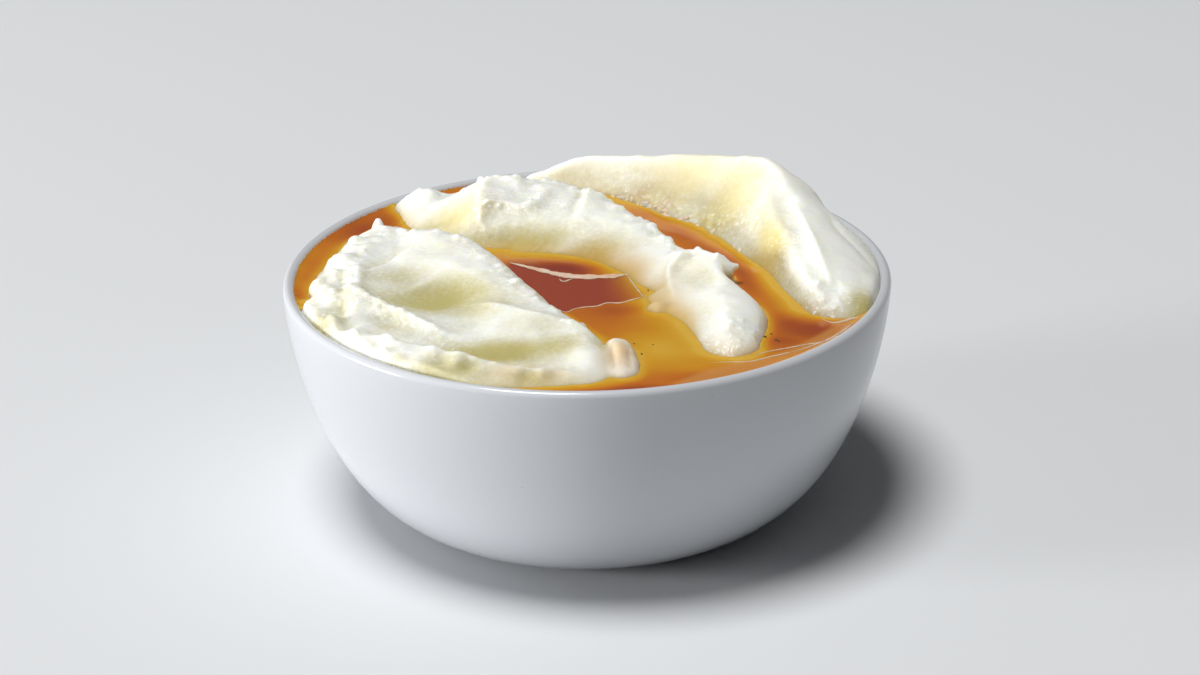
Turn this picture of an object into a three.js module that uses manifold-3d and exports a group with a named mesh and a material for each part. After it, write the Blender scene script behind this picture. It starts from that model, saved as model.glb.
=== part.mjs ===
// A white porcelain side bowl, filled to the brim with spooned mashed potato and gravy.
//
// The bowl is one closed turned shape. The mashed potato is one solid that fills it: its top is
// a height field made of long mounds, each given by a few stations along its crest. The gravy
// lies in the valleys up to one level, as the solids left between that height field and the bowl.
// Millimetres, +Z up, +Y to the back. The origin is the middle of the bowl's flat underside.

import * as THREE from "three";
import { mergeVertices } from "three/addons/utils/BufferGeometryUtils.js";
import Module from "manifold-3d";

const wasm = await Module();
wasm.setup();

// ---------------------------------------------------------------- driving dimensions

const BOWL_RADIUS = 60; // outside, at the rim
const BOWL_HEIGHT = 48;
const BOWL_WALL = 2.2; // porcelain at the lip
const FOOT_RADIUS = 31.5; // flat underside
const FLOOR_THICKNESS = 4;
const WALL_AT_FOOT = 4.5; // the porcelain is thicker where the wall meets the floor
const GRAVY_BELOW_RIM = 1.5;
const FIT_GAP = 0.3; // clearance between touching solids

const TURN_STEPS = 64; // facets round the bowl
const WALL_STEPS = 12; // facets up each wall
const GRID_CELL = 2.1; // spacing of the mash's height field
const HEADROOM = 20; // space above the rim that the heap may use
const DEEPEST_BED = 9; // mash lies everywhere at most this far under the gravy's level
const LUMP_BLEND = 0.6; // how softly a small lump grows out of the mash

const gravyLevel = BOWL_HEIGHT - GRAVY_BELOW_RIM;
const lipRadius = BOWL_RADIUS - BOWL_WALL; // inside, at the rim

// ---------------------------------------------------------------- the mash's mounds

// A mound's stations run along its crest: [x, y, height above the gravy's level, and how far
// its foot at that level lies to the left and to the right of the crest]. The flank numbers
// shape the left and right side: below 0 swells like a loaf, above 0 is hollowed like a scrape.

// The big scoop at the front left: its crest stands over the middle pool and its long slope
// falls to the rim.
const frontScoop = {
  stations: [
    [-41, 19, 3.4, 4, 10],
    [-36, 15.5, 4.2, 5, 20],
    [-28, 10, 6.3, 6, 38],
    [-20, -2, 6.2, 6, 46],
    [-14.5, -13.5, 5.2, 5.5, 44],
    [-8.5, -24, 4.3, 5, 37],
    [-2.5, -33.5, 3.4, 4.5, 24],
    [0.5, -42, 2.8, 4.5, 12],
  ],
  flanks: [-0.3, -0.35],
  crestRadius: 1.5,
  blend: 1.2,
};

// Its shoulder beside the left pool, running to the back.
const leftShoulder = {
  stations: [
    [-44, -22, 3.4, 16, 9],
    [-47, -14, 3.9, 7.5, 10],
    [-47, -5, 4.2, 7.5, 12],
    [-44, 8, 4.0, 7.8, 12],
    [-41, 19, 3.4, 6, 9],
  ],
  flanks: [-0.45, -0.3],
  crestRadius: 3,
  blend: 2,
};

// Its skirt, pressed out along the front of the rim.
const frontSkirt = {
  stations: [
    [-47, -26, 3.2, 12, 16],
    [-38, -37, 3.1, 12, 18],
    [-28, -44, 2.9, 12, 14],
    [-16, -48, 2.3, 12, 7.5],
    [-2, -49.5, 1.7, 8, 4],
  ],
  flanks: [-0.3, -0.3],
  crestRadius: 2,
  blend: 1,
};

// The small horn where the shoulder was pulled up by the spoon.
const horn = {
  stations: [
    [-42.3, 21, 3, 2.5, 2.5],
    [-42.8, 24.2, 4.2, 2.2, 2.2],
  ],
  flanks: [-0.1, -0.1],
  crestRadius: 0.7,
  blend: 0.5,
};

// The ridge that winds from the back left of the rim to the middle of the bowl.
const windingRidge = {
  stations: [
    [-37, 46, 2, 5, 9],
    [-33.3, 42.5, 3.8, 4, 14],
    [-29, 40, 3.4, 5, 20],
    [-20, 36.5, 7.8, 8, 20],
    [-8, 34.5, 7.8, 8, 22],
    [2, 28, 6.8, 6, 21],
    [10.5, 17, 5.9, 5.5, 15],
    [16.5, 6, 4.9, 5.5, 14],
    [19.5, 0, 4.6, 5.5, 13],
  ],
  flanks: [-0.35, -0.45],
  crestRadius: 2.5,
  blend: 1.5,
};

// The lump and the round lobe at its end, running to the front.
const endLobe = {
  stations: [
    [21, 0, 5, 6, 10],
    [24, -5, 5.8, 6.5, 13],
    [25.5, -10, 4.9, 3.6, 15],
    [26.5, -16, 4.4, 7.4, 14],
    [27, -24, 4.5, 7.2, 10],
    [26.5, -34, 3.4, 6.5, 6],
  ],
  flanks: [-0.6, 0.4],
  crestRadius: 3,
  blend: 1.5,
};

// The high bank heaped against the back and the right of the bowl, with a scraped inner face.
const highBank = {
  stations: [
    [-11, 55.5, 1.8, 4, 3],
    [0, 53.5, 6.3, 7, 4],
    [12, 49.5, 7.5, 9.5, 9.5],
    [22, 45, 9.4, 12, 14],
    [31, 37.5, 11.5, 13, 14],
    [38, 30, 13, 13, 15],
    [43, 19, 9.4, 15, 13],
    [47, 4, 7, 15, 11.5],
    [49, -9, 5.3, 13, 10],
    [49.5, -16, 3.8, 10, 7],
  ],
  flanks: [-0.5, 0.8],
  crestRadius: 2.2,
  blend: 1.5,
};

const mounds = [windingRidge, endLobe, highBank, frontScoop, leftShoulder, frontSkirt, horn];

// Relief pressed into the mounds: stations [x, y, raised (+) or sunk (-) by, width to the left
// and to the right].
const frontFoldCrest = [
  [-46.5, -27, 0.3, 3, 5],
  [-38, -33, 1.1, 3, 6],
  [-27, -37.5, 1.1, 3, 6],
  [-13, -46, 1.1, 3, 6],
  [0, -49.5, 0.4, 2.5, 4],
];
const frontFoldGroove = [
  [-42, -25, -0.4, 5, 4],
  [-30, -31.5, -0.9, 6, 4],
  [-17, -38.5, -1.2, 6, 4],
  [-8, -43, -1.2, 6, 4],
  [0, -45.5, -0.8, 5, 3],
];
const scoopRoll = [
  [-20, -22, 0.4, 6, 7],
  [-11, -29, 1.3, 7, 8],
  [-3, -38, 1.2, 6, 7],
  [0, -42, 0.8, 5, 6],
];
const scoopEdge = [
  [-43, -12, 0.4, 3, 6],
  [-36, -22.5, 1.1, 3, 7],
  [-27.5, -33, 0.3, 3, 5],
];
const scrapedEdge = [
  [38.5, 20, 0.3, 5, 3],
  [40.2, 8, 1.2, 5, 3],
  [42, -1.5, 1.2, 5, 3],
  [40, -12, 0.3, 3, 3],
];
const relief = [frontFoldCrest, frontFoldGroove, scoopRoll, scoopEdge, scrapedEdge];

// Hollows pressed by the back of a spoon: middle, half length, half width, turn and depth.
const hollows = [
  { x: -27.5, y: -19.5, length: 11, width: 7.5, turn: -50, depth: 1.9 },
  { x: -28, y: 28, length: 7.5, width: 6, turn: 20, depth: 1.4 },
];

// Small lumps at the edge of the front pool: [x, y, height, radius].
const lumps = [
  [6.5, -41, 1.8, 5.5],
  [-14, -50, 1.4, 3.5],
  [12.5, -18, 1.6, 3.5],
];

// The mash under the gravy: an even bed, deeper in the middle pool and close under the surface
// in the front pool: [x, y, half length along x, half length along y, height].
const BED_HEIGHT = -3.2;
const bedForms = [
  [2, -6, 10, 12, -2.8],
  [14, -38, 12, 12, 1.8],
];

// ---------------------------------------------------------------- height of the mash

// The crest as short straight pieces: each end holds x, y, height and the two widths.
function crestOf(stations, piecesPerSpan = 4) {
  const line = new THREE.CatmullRomCurve3(
    stations.map(([x, y, height]) => new THREE.Vector3(x, y, height)), false, "catmullrom", 0.5);
  const widths = new THREE.CatmullRomCurve3(
    stations.map(([, , , left, right]) => new THREE.Vector3(left, right, 0)), false, "catmullrom", 0.5);
  const pieces = (stations.length - 1) * piecesPerSpan;
  return Array.from({ length: pieces + 1 }, (_, i) => {
    const at = line.getPoint(i / pieces);
    const wide = widths.getPoint(i / pieces);
    return { x: at.x, y: at.y, height: at.z, left: wide.x, right: wide.y };
  });
}

// Where a point lies beside a crest: its distance, the share of its right side (0 on the left,
// 1 on the right, between them past an end), and the height and width there.
function beside(x, y, crest) {
  let nearest = { distance: Infinity };
  for (let i = 0; i + 1 < crest.length; i++) {
    const a = crest[i];
    const b = crest[i + 1];
    const dx = b.x - a.x;
    const dy = b.y - a.y;
    const length = Math.hypot(dx, dy);
    const t = THREE.MathUtils.clamp(((x - a.x) * dx + (y - a.y) * dy) / length ** 2, 0, 1);
    const distance = Math.hypot(x - a.x - t * dx, y - a.y - t * dy);
    if (distance >= nearest.distance) continue;
    const toRight = ((x - a.x) * dy - (y - a.y) * dx) / length;
    const side = THREE.MathUtils.clamp(toRight / Math.max(distance, 1e-6), -1, 1);
    const rightShare = (1 + side) / 2;
    const left = THREE.MathUtils.lerp(a.left, b.left, t);
    const right = THREE.MathUtils.lerp(a.right, b.right, t);
    nearest = {
      distance,
      rightShare,
      height: THREE.MathUtils.lerp(a.height, b.height, t),
      width: THREE.MathUtils.lerp(left, right, rightShare),
    };
  }
  return nearest;
}

function moundHeight(x, y, mound) {
  const { distance, rightShare, height, width } = beside(x, y, mound.crest);
  const flank = THREE.MathUtils.lerp(mound.flanks[0], mound.flanks[1], rightShare);
  const rounded = (d) => Math.hypot(d, mound.crestRadius) - mound.crestRadius;
  const out = rounded(distance) / rounded(width); // 0 on the crest, 1 at the foot
  const slopeAtFoot = height / (1 + flank);
  const surface = out > 1 && flank < 0
    ? slopeAtFoot * (1 - out)
    : (height * (1 - out)) / (1 + flank * out);
  return Math.max(surface, -DEEPEST_BED);
}

function reliefHeight(x, y, crest) {
  const { distance, height, width } = beside(x, y, crest);
  const out = Math.min(distance / width, 1);
  return height * (1 - out) ** 2;
}

function hollowDepth(x, y, { x: cx, y: cy, length, width, turn, depth }) {
  const angle = THREE.MathUtils.degToRad(turn);
  const u = ((x - cx) * Math.cos(angle) + (y - cy) * Math.sin(angle)) / length;
  const v = ((y - cy) * Math.cos(angle) - (x - cx) * Math.sin(angle)) / width;
  return depth * Math.max(0, 1 - u * u - v * v) ** 2;
}

// The larger of two heights, rounded over where they meet.
function blendedMax(a, b, blend) {
  const h = THREE.MathUtils.clamp(0.5 + (a - b) / (2 * blend), 0, 1);
  return THREE.MathUtils.lerp(b, a, h) + blend * h * (1 - h);
}

const moundCrests = mounds.map((mound) => ({ ...mound, crest: crestOf(mound.stations) }));
const reliefCrests = relief.map((stations) => crestOf(stations));

// Height of the mash above the gravy's level.
function mashHeight(x, y) {
  let height = BED_HEIGHT;
  for (const [cx, cy, lengthX, lengthY, rise] of bedForms)
    height += rise * Math.exp(-(((x - cx) / lengthX) ** 2) - ((y - cy) / lengthY) ** 2);
  for (const mound of moundCrests) height = blendedMax(height, moundHeight(x, y, mound), mound.blend);
  for (const [cx, cy, rise, radius] of lumps) {
    const out = Math.hypot(x - cx, y - cy) / radius;
    height = blendedMax(height, rise * (1 - out * out), LUMP_BLEND);
  }
  for (const crest of reliefCrests) height += reliefHeight(x, y, crest);
  for (const hollow of hollows) height -= hollowDepth(x, y, hollow);
  return height;
}

// ---------------------------------------------------------------- solids

function toSolid(geometry) {
  const bare = geometry.clone();
  bare.deleteAttribute("normal");
  bare.deleteAttribute("uv");
  const merged = mergeVertices(bare, 1e-3);
  return new wasm.Manifold(new wasm.Mesh({
    numProp: 3,
    vertProperties: new Float32Array(merged.attributes.position.array),
    triVerts: new Uint32Array(merged.index.array),
  }));
}

function toGeometry(solid) {
  const { vertProperties, triVerts } = solid.getMesh();
  const geometry = new THREE.BufferGeometry();
  geometry.setAttribute("position", new THREE.BufferAttribute(vertProperties, 3));
  geometry.setIndex(new THREE.BufferAttribute(triVerts, 1));
  geometry.computeVertexNormals();
  return geometry;
}

// A LatheGeometry turns about Y; this stands it up about Z.
function turned(profile) {
  return new THREE.LatheGeometry(profile, TURN_STEPS).rotateX(Math.PI / 2);
}

const point = (radius, height) => new THREE.Vector2(radius, height);

// A wall curve leaves the foot almost level and rises to an upright lip: its two handles lie
// out along the foot and below the lip.
function wallCurve(footRadius, footHeight, footHandle, rimRadius, rimHandle) {
  return new THREE.CubicBezierCurve(
    point(footRadius, footHeight),
    footHandle,
    point(rimRadius, BOWL_HEIGHT - rimHandle),
    point(rimRadius, BOWL_HEIGHT),
  );
}
const outerWall = wallCurve(FOOT_RADIUS, 0, point(54, 0.4), BOWL_RADIUS, 8.5);
const innerWall = wallCurve(
  FOOT_RADIUS - WALL_AT_FOOT, FLOOR_THICKNESS, point(51, FLOOR_THICKNESS + 0.6), lipRadius, 9.5);

function bowlSolid() {
  const lip = [];
  const lipSteps = 4;
  for (let i = 1; i < lipSteps; i++) {
    const angle = (i / lipSteps) * Math.PI;
    lip.push(point(
      lipRadius + (BOWL_WALL / 2) * (1 + Math.cos(angle)),
      BOWL_HEIGHT - (BOWL_WALL / 2) * (1 - Math.sin(angle)),
    ));
  }
  const upright = BOWL_WALL / 2; // the lip's round starts this far under the rim
  const upToLip = (wall) => wall.getSpacedPoints(WALL_STEPS)
    .map((p) => point(p.x, Math.min(p.y, BOWL_HEIGHT - upright)));
  return toSolid(turned([
    point(0, 0),
    ...upToLip(outerWall),
    ...lip,
    ...upToLip(innerWall).reverse(),
    point(0, FLOOR_THICKNESS),
  ]));
}

// The room inside the bowl, up to a height, clear of the porcelain by the fit gap.
function bowlRoom(from, to) {
  const wall = innerWall.getSpacedPoints(WALL_STEPS)
    .map((p) => point(p.x - FIT_GAP, p.y + FIT_GAP))
    .filter((p) => p.y > from && p.y < Math.min(to, BOWL_HEIGHT - 0.1));
  const radiusAt = (height) => {
    const points = innerWall.getPoints(200);
    const above = points.find((p) => p.y + FIT_GAP >= height);
    return (above ? above.x : lipRadius) - FIT_GAP;
  };
  return toSolid(turned([
    point(0, from),
    point(radiusAt(from), from),
    ...wall,
    point(radiusAt(to), to),
    point(0, to),
  ]));
}

// A block whose top is the mash's surface, raised square to itself by a clearance.
function mashBlock(clearance) {
  const cells = Math.ceil((2 * BOWL_RADIUS) / GRID_CELL);
  const width = cells * GRID_CELL;
  const block = new THREE.BoxGeometry(width, width, gravyLevel, cells, cells, 1);
  block.translate(0, 0, gravyLevel / 2);
  block.rotateZ(Math.PI / 2); // the cells' diagonals then run along the mounds
  const position = block.attributes.position;
  for (let i = 0; i < position.count; i++) {
    if (position.getZ(i) < gravyLevel / 2) continue;
    const x = position.getX(i);
    const y = position.getY(i);
    const height = mashHeight(x, y);
    const slopeX = (mashHeight(x + GRID_CELL, y) - mashHeight(x - GRID_CELL, y)) / (2 * GRID_CELL);
    const slopeY = (mashHeight(x, y + GRID_CELL) - mashHeight(x, y - GRID_CELL)) / (2 * GRID_CELL);
    position.setZ(i, gravyLevel + height + clearance * Math.hypot(1, slopeX, slopeY));
  }
  return toSolid(block);
}

const mash = mashBlock(0).intersect(bowlRoom(FLOOR_THICKNESS + FIT_GAP, BOWL_HEIGHT + HEADROOM));

// The gravy falls into pools; the two large ones are kept and loose scraps are not.
const pools = bowlRoom(gravyLevel - DEEPEST_BED, gravyLevel)
  .subtract(mashBlock(FIT_GAP))
  .decompose()
  .sort((a, b) => b.volume() - a.volume());

// ---------------------------------------------------------------- the dish

const porcelain = new THREE.MeshStandardMaterial({ color: "#eceef0", roughness: 0.15 });
const potato = new THREE.MeshStandardMaterial({ color: "#f1ecd2", roughness: 0.5 });
const gravy = new THREE.MeshStandardMaterial({ color: "#b5652a", roughness: 0.12 });

function named(name, solid, material) {
  const mesh = new THREE.Mesh(toGeometry(solid), material);
  mesh.name = name;
  return mesh;
}

const dish = new THREE.Group();
dish.add(
  named("bowl", bowlSolid(), porcelain),
  named("mashed_potato", mash, potato),
  named("gravy_main", pools[0], gravy),
  named("gravy_left_pool", pools[1], gravy),
);

export default dish;
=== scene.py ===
import math

import bpy
import numpy as np
from mathutils import Matrix, Vector


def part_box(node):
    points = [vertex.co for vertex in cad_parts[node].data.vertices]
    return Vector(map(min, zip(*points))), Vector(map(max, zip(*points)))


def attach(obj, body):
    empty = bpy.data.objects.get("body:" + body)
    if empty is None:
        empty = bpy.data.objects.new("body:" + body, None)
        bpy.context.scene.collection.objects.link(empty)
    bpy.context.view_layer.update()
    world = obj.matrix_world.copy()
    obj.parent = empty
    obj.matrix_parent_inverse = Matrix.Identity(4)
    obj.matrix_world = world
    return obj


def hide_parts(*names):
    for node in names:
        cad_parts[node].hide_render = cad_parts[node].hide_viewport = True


# ---------------------------------------------------------------- the dish's solids
# The frame holds the bowl, the potato and two bodies of gravy at their real size. Sizes below
# are in millimetres and start from it; MM turns them into metres where a mesh is made.

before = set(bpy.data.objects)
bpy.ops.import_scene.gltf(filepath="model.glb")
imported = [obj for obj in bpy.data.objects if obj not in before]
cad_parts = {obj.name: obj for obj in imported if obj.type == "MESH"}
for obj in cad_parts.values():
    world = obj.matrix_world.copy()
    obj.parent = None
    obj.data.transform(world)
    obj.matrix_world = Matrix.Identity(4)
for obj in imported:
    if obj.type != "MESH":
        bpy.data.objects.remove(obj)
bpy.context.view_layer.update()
MM = 0.001


# ---------------------------------------------------------------- the bowl
# A side bowl of white porcelain: clay jiggered over a turning mould, fired, dipped in clear glaze
# and fired again. One round profile with an even 2 mm lip, flat underneath where it stands.

bowl_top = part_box("bowl")[1]
BOWL_RADIUS = bowl_top.x / MM
BOWL_HEIGHT = bowl_top.z / MM
BOWL_WALL = 2.2
FOOT_RADIUS = 31.5
FLOOR_THICKNESS = 4.0
FLOOR_RADIUS = FOOT_RADIUS - 4.5  # where the floor inside turns up into the wall
LIP = BOWL_WALL / 2  # the lip is a half round of this radius
LIP_START = BOWL_HEIGHT - LIP  # and starts at this height
MOUTH_RADIUS = BOWL_RADIUS - BOWL_WALL
# The wall swings out from the foot nearly level and ends upright. For its outer and its inner
# curve: where the handle at the foot ends (radius, height), and how far the one at the lip hangs.
OUTER_HANDLE, OUTER_UPRIGHT = (54, 0.4), 7.9
INNER_HANDLE, INNER_UPRIGHT = (51, FLOOR_THICKNESS + 0.6), 8.9
ROUND_HANDLE = 0.5523  # handle of a quarter circle, as a share of its radius
WHEEL_RADIUS = 10.0  # circle that the profile is turned on
TURNED_FACETS = 192

PORCELAIN = "#caccd0"
PORCELAIN_SPECK = "#8f8b86"


def linear(hex_code):
    """An sRGB colour such as "#f2f3f5" as linear red, green, blue and full alpha."""
    parts = [int(hex_code[i:i + 2], 16) / 255 for i in (1, 3, 5)]
    return (*[p / 12.92 if p <= 0.04045 else ((p + 0.055) / 1.055) ** 2.4 for p in parts], 1.0)


def add(tree, kind, sockets=None, **settings):
    """Adds a node: sockets gives each input, by name or number, its value or the output that feeds it."""
    node = tree.nodes.new(kind)
    for setting, value in settings.items():
        setattr(node, setting, value)
    for socket, value in (sockets or {}).items():
        if isinstance(value, bpy.types.NodeSocket):
            tree.links.new(value, node.inputs[socket])
        else:
            node.inputs[socket].default_value = value
    return node


def new_material(name, roughness, ior):
    """A material, its node tree and its shader."""
    material = bpy.data.materials.new(name)
    material.use_nodes = True
    shader = material.node_tree.nodes["Principled BSDF"]
    shader.inputs["Roughness"].default_value = roughness
    shader.inputs["IOR"].default_value = ior
    return material, material.node_tree, shader


def new_tree(name, inputs):
    """A Geometry Nodes tree with the named inputs: {name: (kind of socket, default)}."""
    tree = bpy.data.node_groups.new(name, "GeometryNodeTree")
    tree.interface.new_socket("Geometry", in_out="INPUT", socket_type="NodeSocketGeometry")
    for label, (kind, default) in inputs.items():
        socket = tree.interface.new_socket(label, in_out="INPUT", socket_type="NodeSocket" + kind)
        if default is not None:
            socket.default_value = default
    tree.interface.new_socket("Geometry", in_out="OUTPUT", socket_type="NodeSocketGeometry")
    return tree, add(tree, "NodeGroupInput").outputs


def end_tree(tree, geometry, material):
    """Closes a tree: the result is smooth, real geometry with its material."""
    smooth = add(tree, "GeometryNodeSetShadeSmooth", {"Geometry": geometry})
    real = add(tree, "GeometryNodeRealizeInstances", {"Geometry": smooth.outputs[0]})
    dressed = add(tree, "GeometryNodeSetMaterial", {"Geometry": real.outputs[0], "Material": material})
    add(tree, "NodeGroupOutput", {"Geometry": dressed.outputs[0]})


def lit_through(shader, weight, radius, scale):
    """Lets light sink into a material and come back out, each colour its own way."""
    for setting, value in (("Weight", weight), ("Radius", radius), ("Scale", scale)):
        shader.inputs["Subsurface " + setting].default_value = value


def in_scene(name, data):
    """A new object that shows the data."""
    shown = bpy.data.objects.new(name, data)
    bpy.context.collection.objects.link(shown)
    return shown


def make(name, tree, start, sizes):
    """The plain mesh piece that a tree makes from the starting data, with its named inputs set."""
    source = in_scene(name, start)
    modifier = source.modifiers.new("make", "NODES")
    modifier.node_group = tree
    for item in tree.interface.items_tree:
        if item.in_out == "INPUT" and item.name in sizes:
            modifier[item.identifier] = sizes[item.name]
    evaluated = source.evaluated_get(bpy.context.evaluated_depsgraph_get())
    mesh = bpy.data.meshes.new_from_object(evaluated)
    bpy.data.objects.remove(source)
    return in_scene(name, mesh)


# Glazed porcelain: clear glass melted over white clay. The eye gets a cool, even white with
# soft reflections that waver a little.
glaze_material, glaze, shader = new_material("glazed porcelain", 0.16, 1.5)
place = add(glaze, "ShaderNodeTexCoord").outputs["Object"]
# Glaze runs a little uneven as it melts: long, very low swells that bend the reflections.
swell = add(glaze, "ShaderNodeTexNoise", {"Vector": place, "Scale": 1 / (14 * MM), "Detail": 2.0})
ripple = add(glaze, "ShaderNodeBump",
             {"Strength": 0.25, "Distance": 0.15 * MM, "Height": swell.outputs["Fac"]})
# A few specks of iron in the clay show grey through the glaze. Real ones are 0.1 mm across;
# they are drawn 0.3 mm across so that they show.
speck = add(glaze, "ShaderNodeTexVoronoi", {"Vector": place, "Scale": 1 / (7 * MM)}, feature="F1")
is_speck = add(glaze, "ShaderNodeMapRange",
               {"Value": speck.outputs["Distance"], 1: 0.012, 2: 0.024, 3: 0.55, 4: 0.0})
body = add(glaze, "ShaderNodeMix",
           {0: is_speck.outputs[0], 6: linear(PORCELAIN), 7: linear(PORCELAIN_SPECK)}, data_type="RGBA")
glaze.links.new(body.outputs[2], shader.inputs["Base Color"])
glaze.links.new(ripple.outputs[0], shader.inputs["Normal"])

turning, given = new_tree("turned bowl", {
    "Wheel Radius": ("Float", 0.01), "Facets": ("Int", 96)})
wheel = add(turning, "GeometryNodeCurvePrimitiveCircle",
            {"Radius": given["Wheel Radius"], "Resolution": given["Facets"]})
turned = add(turning, "GeometryNodeCurveToMesh", {0: wheel.outputs[0], 1: given["Geometry"]})
closed = add(turning, "GeometryNodeMergeByDistance", {"Geometry": turned.outputs[0], "Distance": 0.01 * MM})
outward = add(turning, "GeometryNodeFlipFaces", {"Mesh": closed.outputs[0]})
end_tree(turning, outward.outputs[0], glaze_material)


def bowl_profile():
    """The bowl's section from the middle of the underside, over the lip, to the middle of the floor."""
    quarter = ROUND_HANDLE * LIP
    # Each knot is (radius, height), with the handles that lead into it and out of it.
    knots = [
        ((0, 0), (0, 0), (FOOT_RADIUS / 3, 0)),
        ((FOOT_RADIUS, 0), (FOOT_RADIUS * 2 / 3, 0), OUTER_HANDLE),
        ((BOWL_RADIUS, LIP_START), (BOWL_RADIUS, LIP_START - OUTER_UPRIGHT),
         (BOWL_RADIUS, LIP_START + quarter)),
        ((BOWL_RADIUS - LIP, BOWL_HEIGHT), (BOWL_RADIUS - LIP + quarter, BOWL_HEIGHT),
         (BOWL_RADIUS - LIP - quarter, BOWL_HEIGHT)),
        ((MOUTH_RADIUS, LIP_START), (MOUTH_RADIUS, LIP_START + quarter),
         (MOUTH_RADIUS, LIP_START - INNER_UPRIGHT)),
        ((FLOOR_RADIUS, FLOOR_THICKNESS), INNER_HANDLE, (FLOOR_RADIUS * 2 / 3, FLOOR_THICKNESS)),
        ((0, FLOOR_THICKNESS), (FLOOR_RADIUS / 3, FLOOR_THICKNESS), (0, FLOOR_THICKNESS)),
    ]
    profile = bpy.data.curves.new("bowl profile", "CURVE")
    profile.dimensions = "3D"
    profile.resolution_u = 20
    spline = profile.splines.new("BEZIER")
    spline.bezier_points.add(len(knots) - 1)
    for knot, spots in zip(spline.bezier_points, knots):
        # The wheel stands the section up: its x points out and its y points down.
        knot.co, knot.handle_left, knot.handle_right = [
            ((radius - WHEEL_RADIUS) * MM, -height * MM, 0) for radius, height in spots]
    return profile


bowl = make("bowl_porcelain", turning, bowl_profile(),
            {"Wheel Radius": WHEEL_RADIUS * MM, "Facets": TURNED_FACETS})
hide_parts("bowl")
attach(bowl, "root")


# ---------------------------------------------------------------- the mashed potato
# Boiled potato mashed with milk and butter, soft enough to keep every stroke of the spoon: long
# mounds, folds and pressed hollows, smooth where the spoon slid and grainy along torn crests.

GRAVY_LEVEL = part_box("gravy_main")[1].z / MM
CELL = 0.47  # spacing of the points that the surface is worked out on
WALL_RINGS = 4
LEAST_GAP = 0.02  # no point that the surface is worked out on lies nearer to it than this
SEAL = 0.05  # the potato is pressed this far into the porcelain, so no line of light shows

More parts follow.
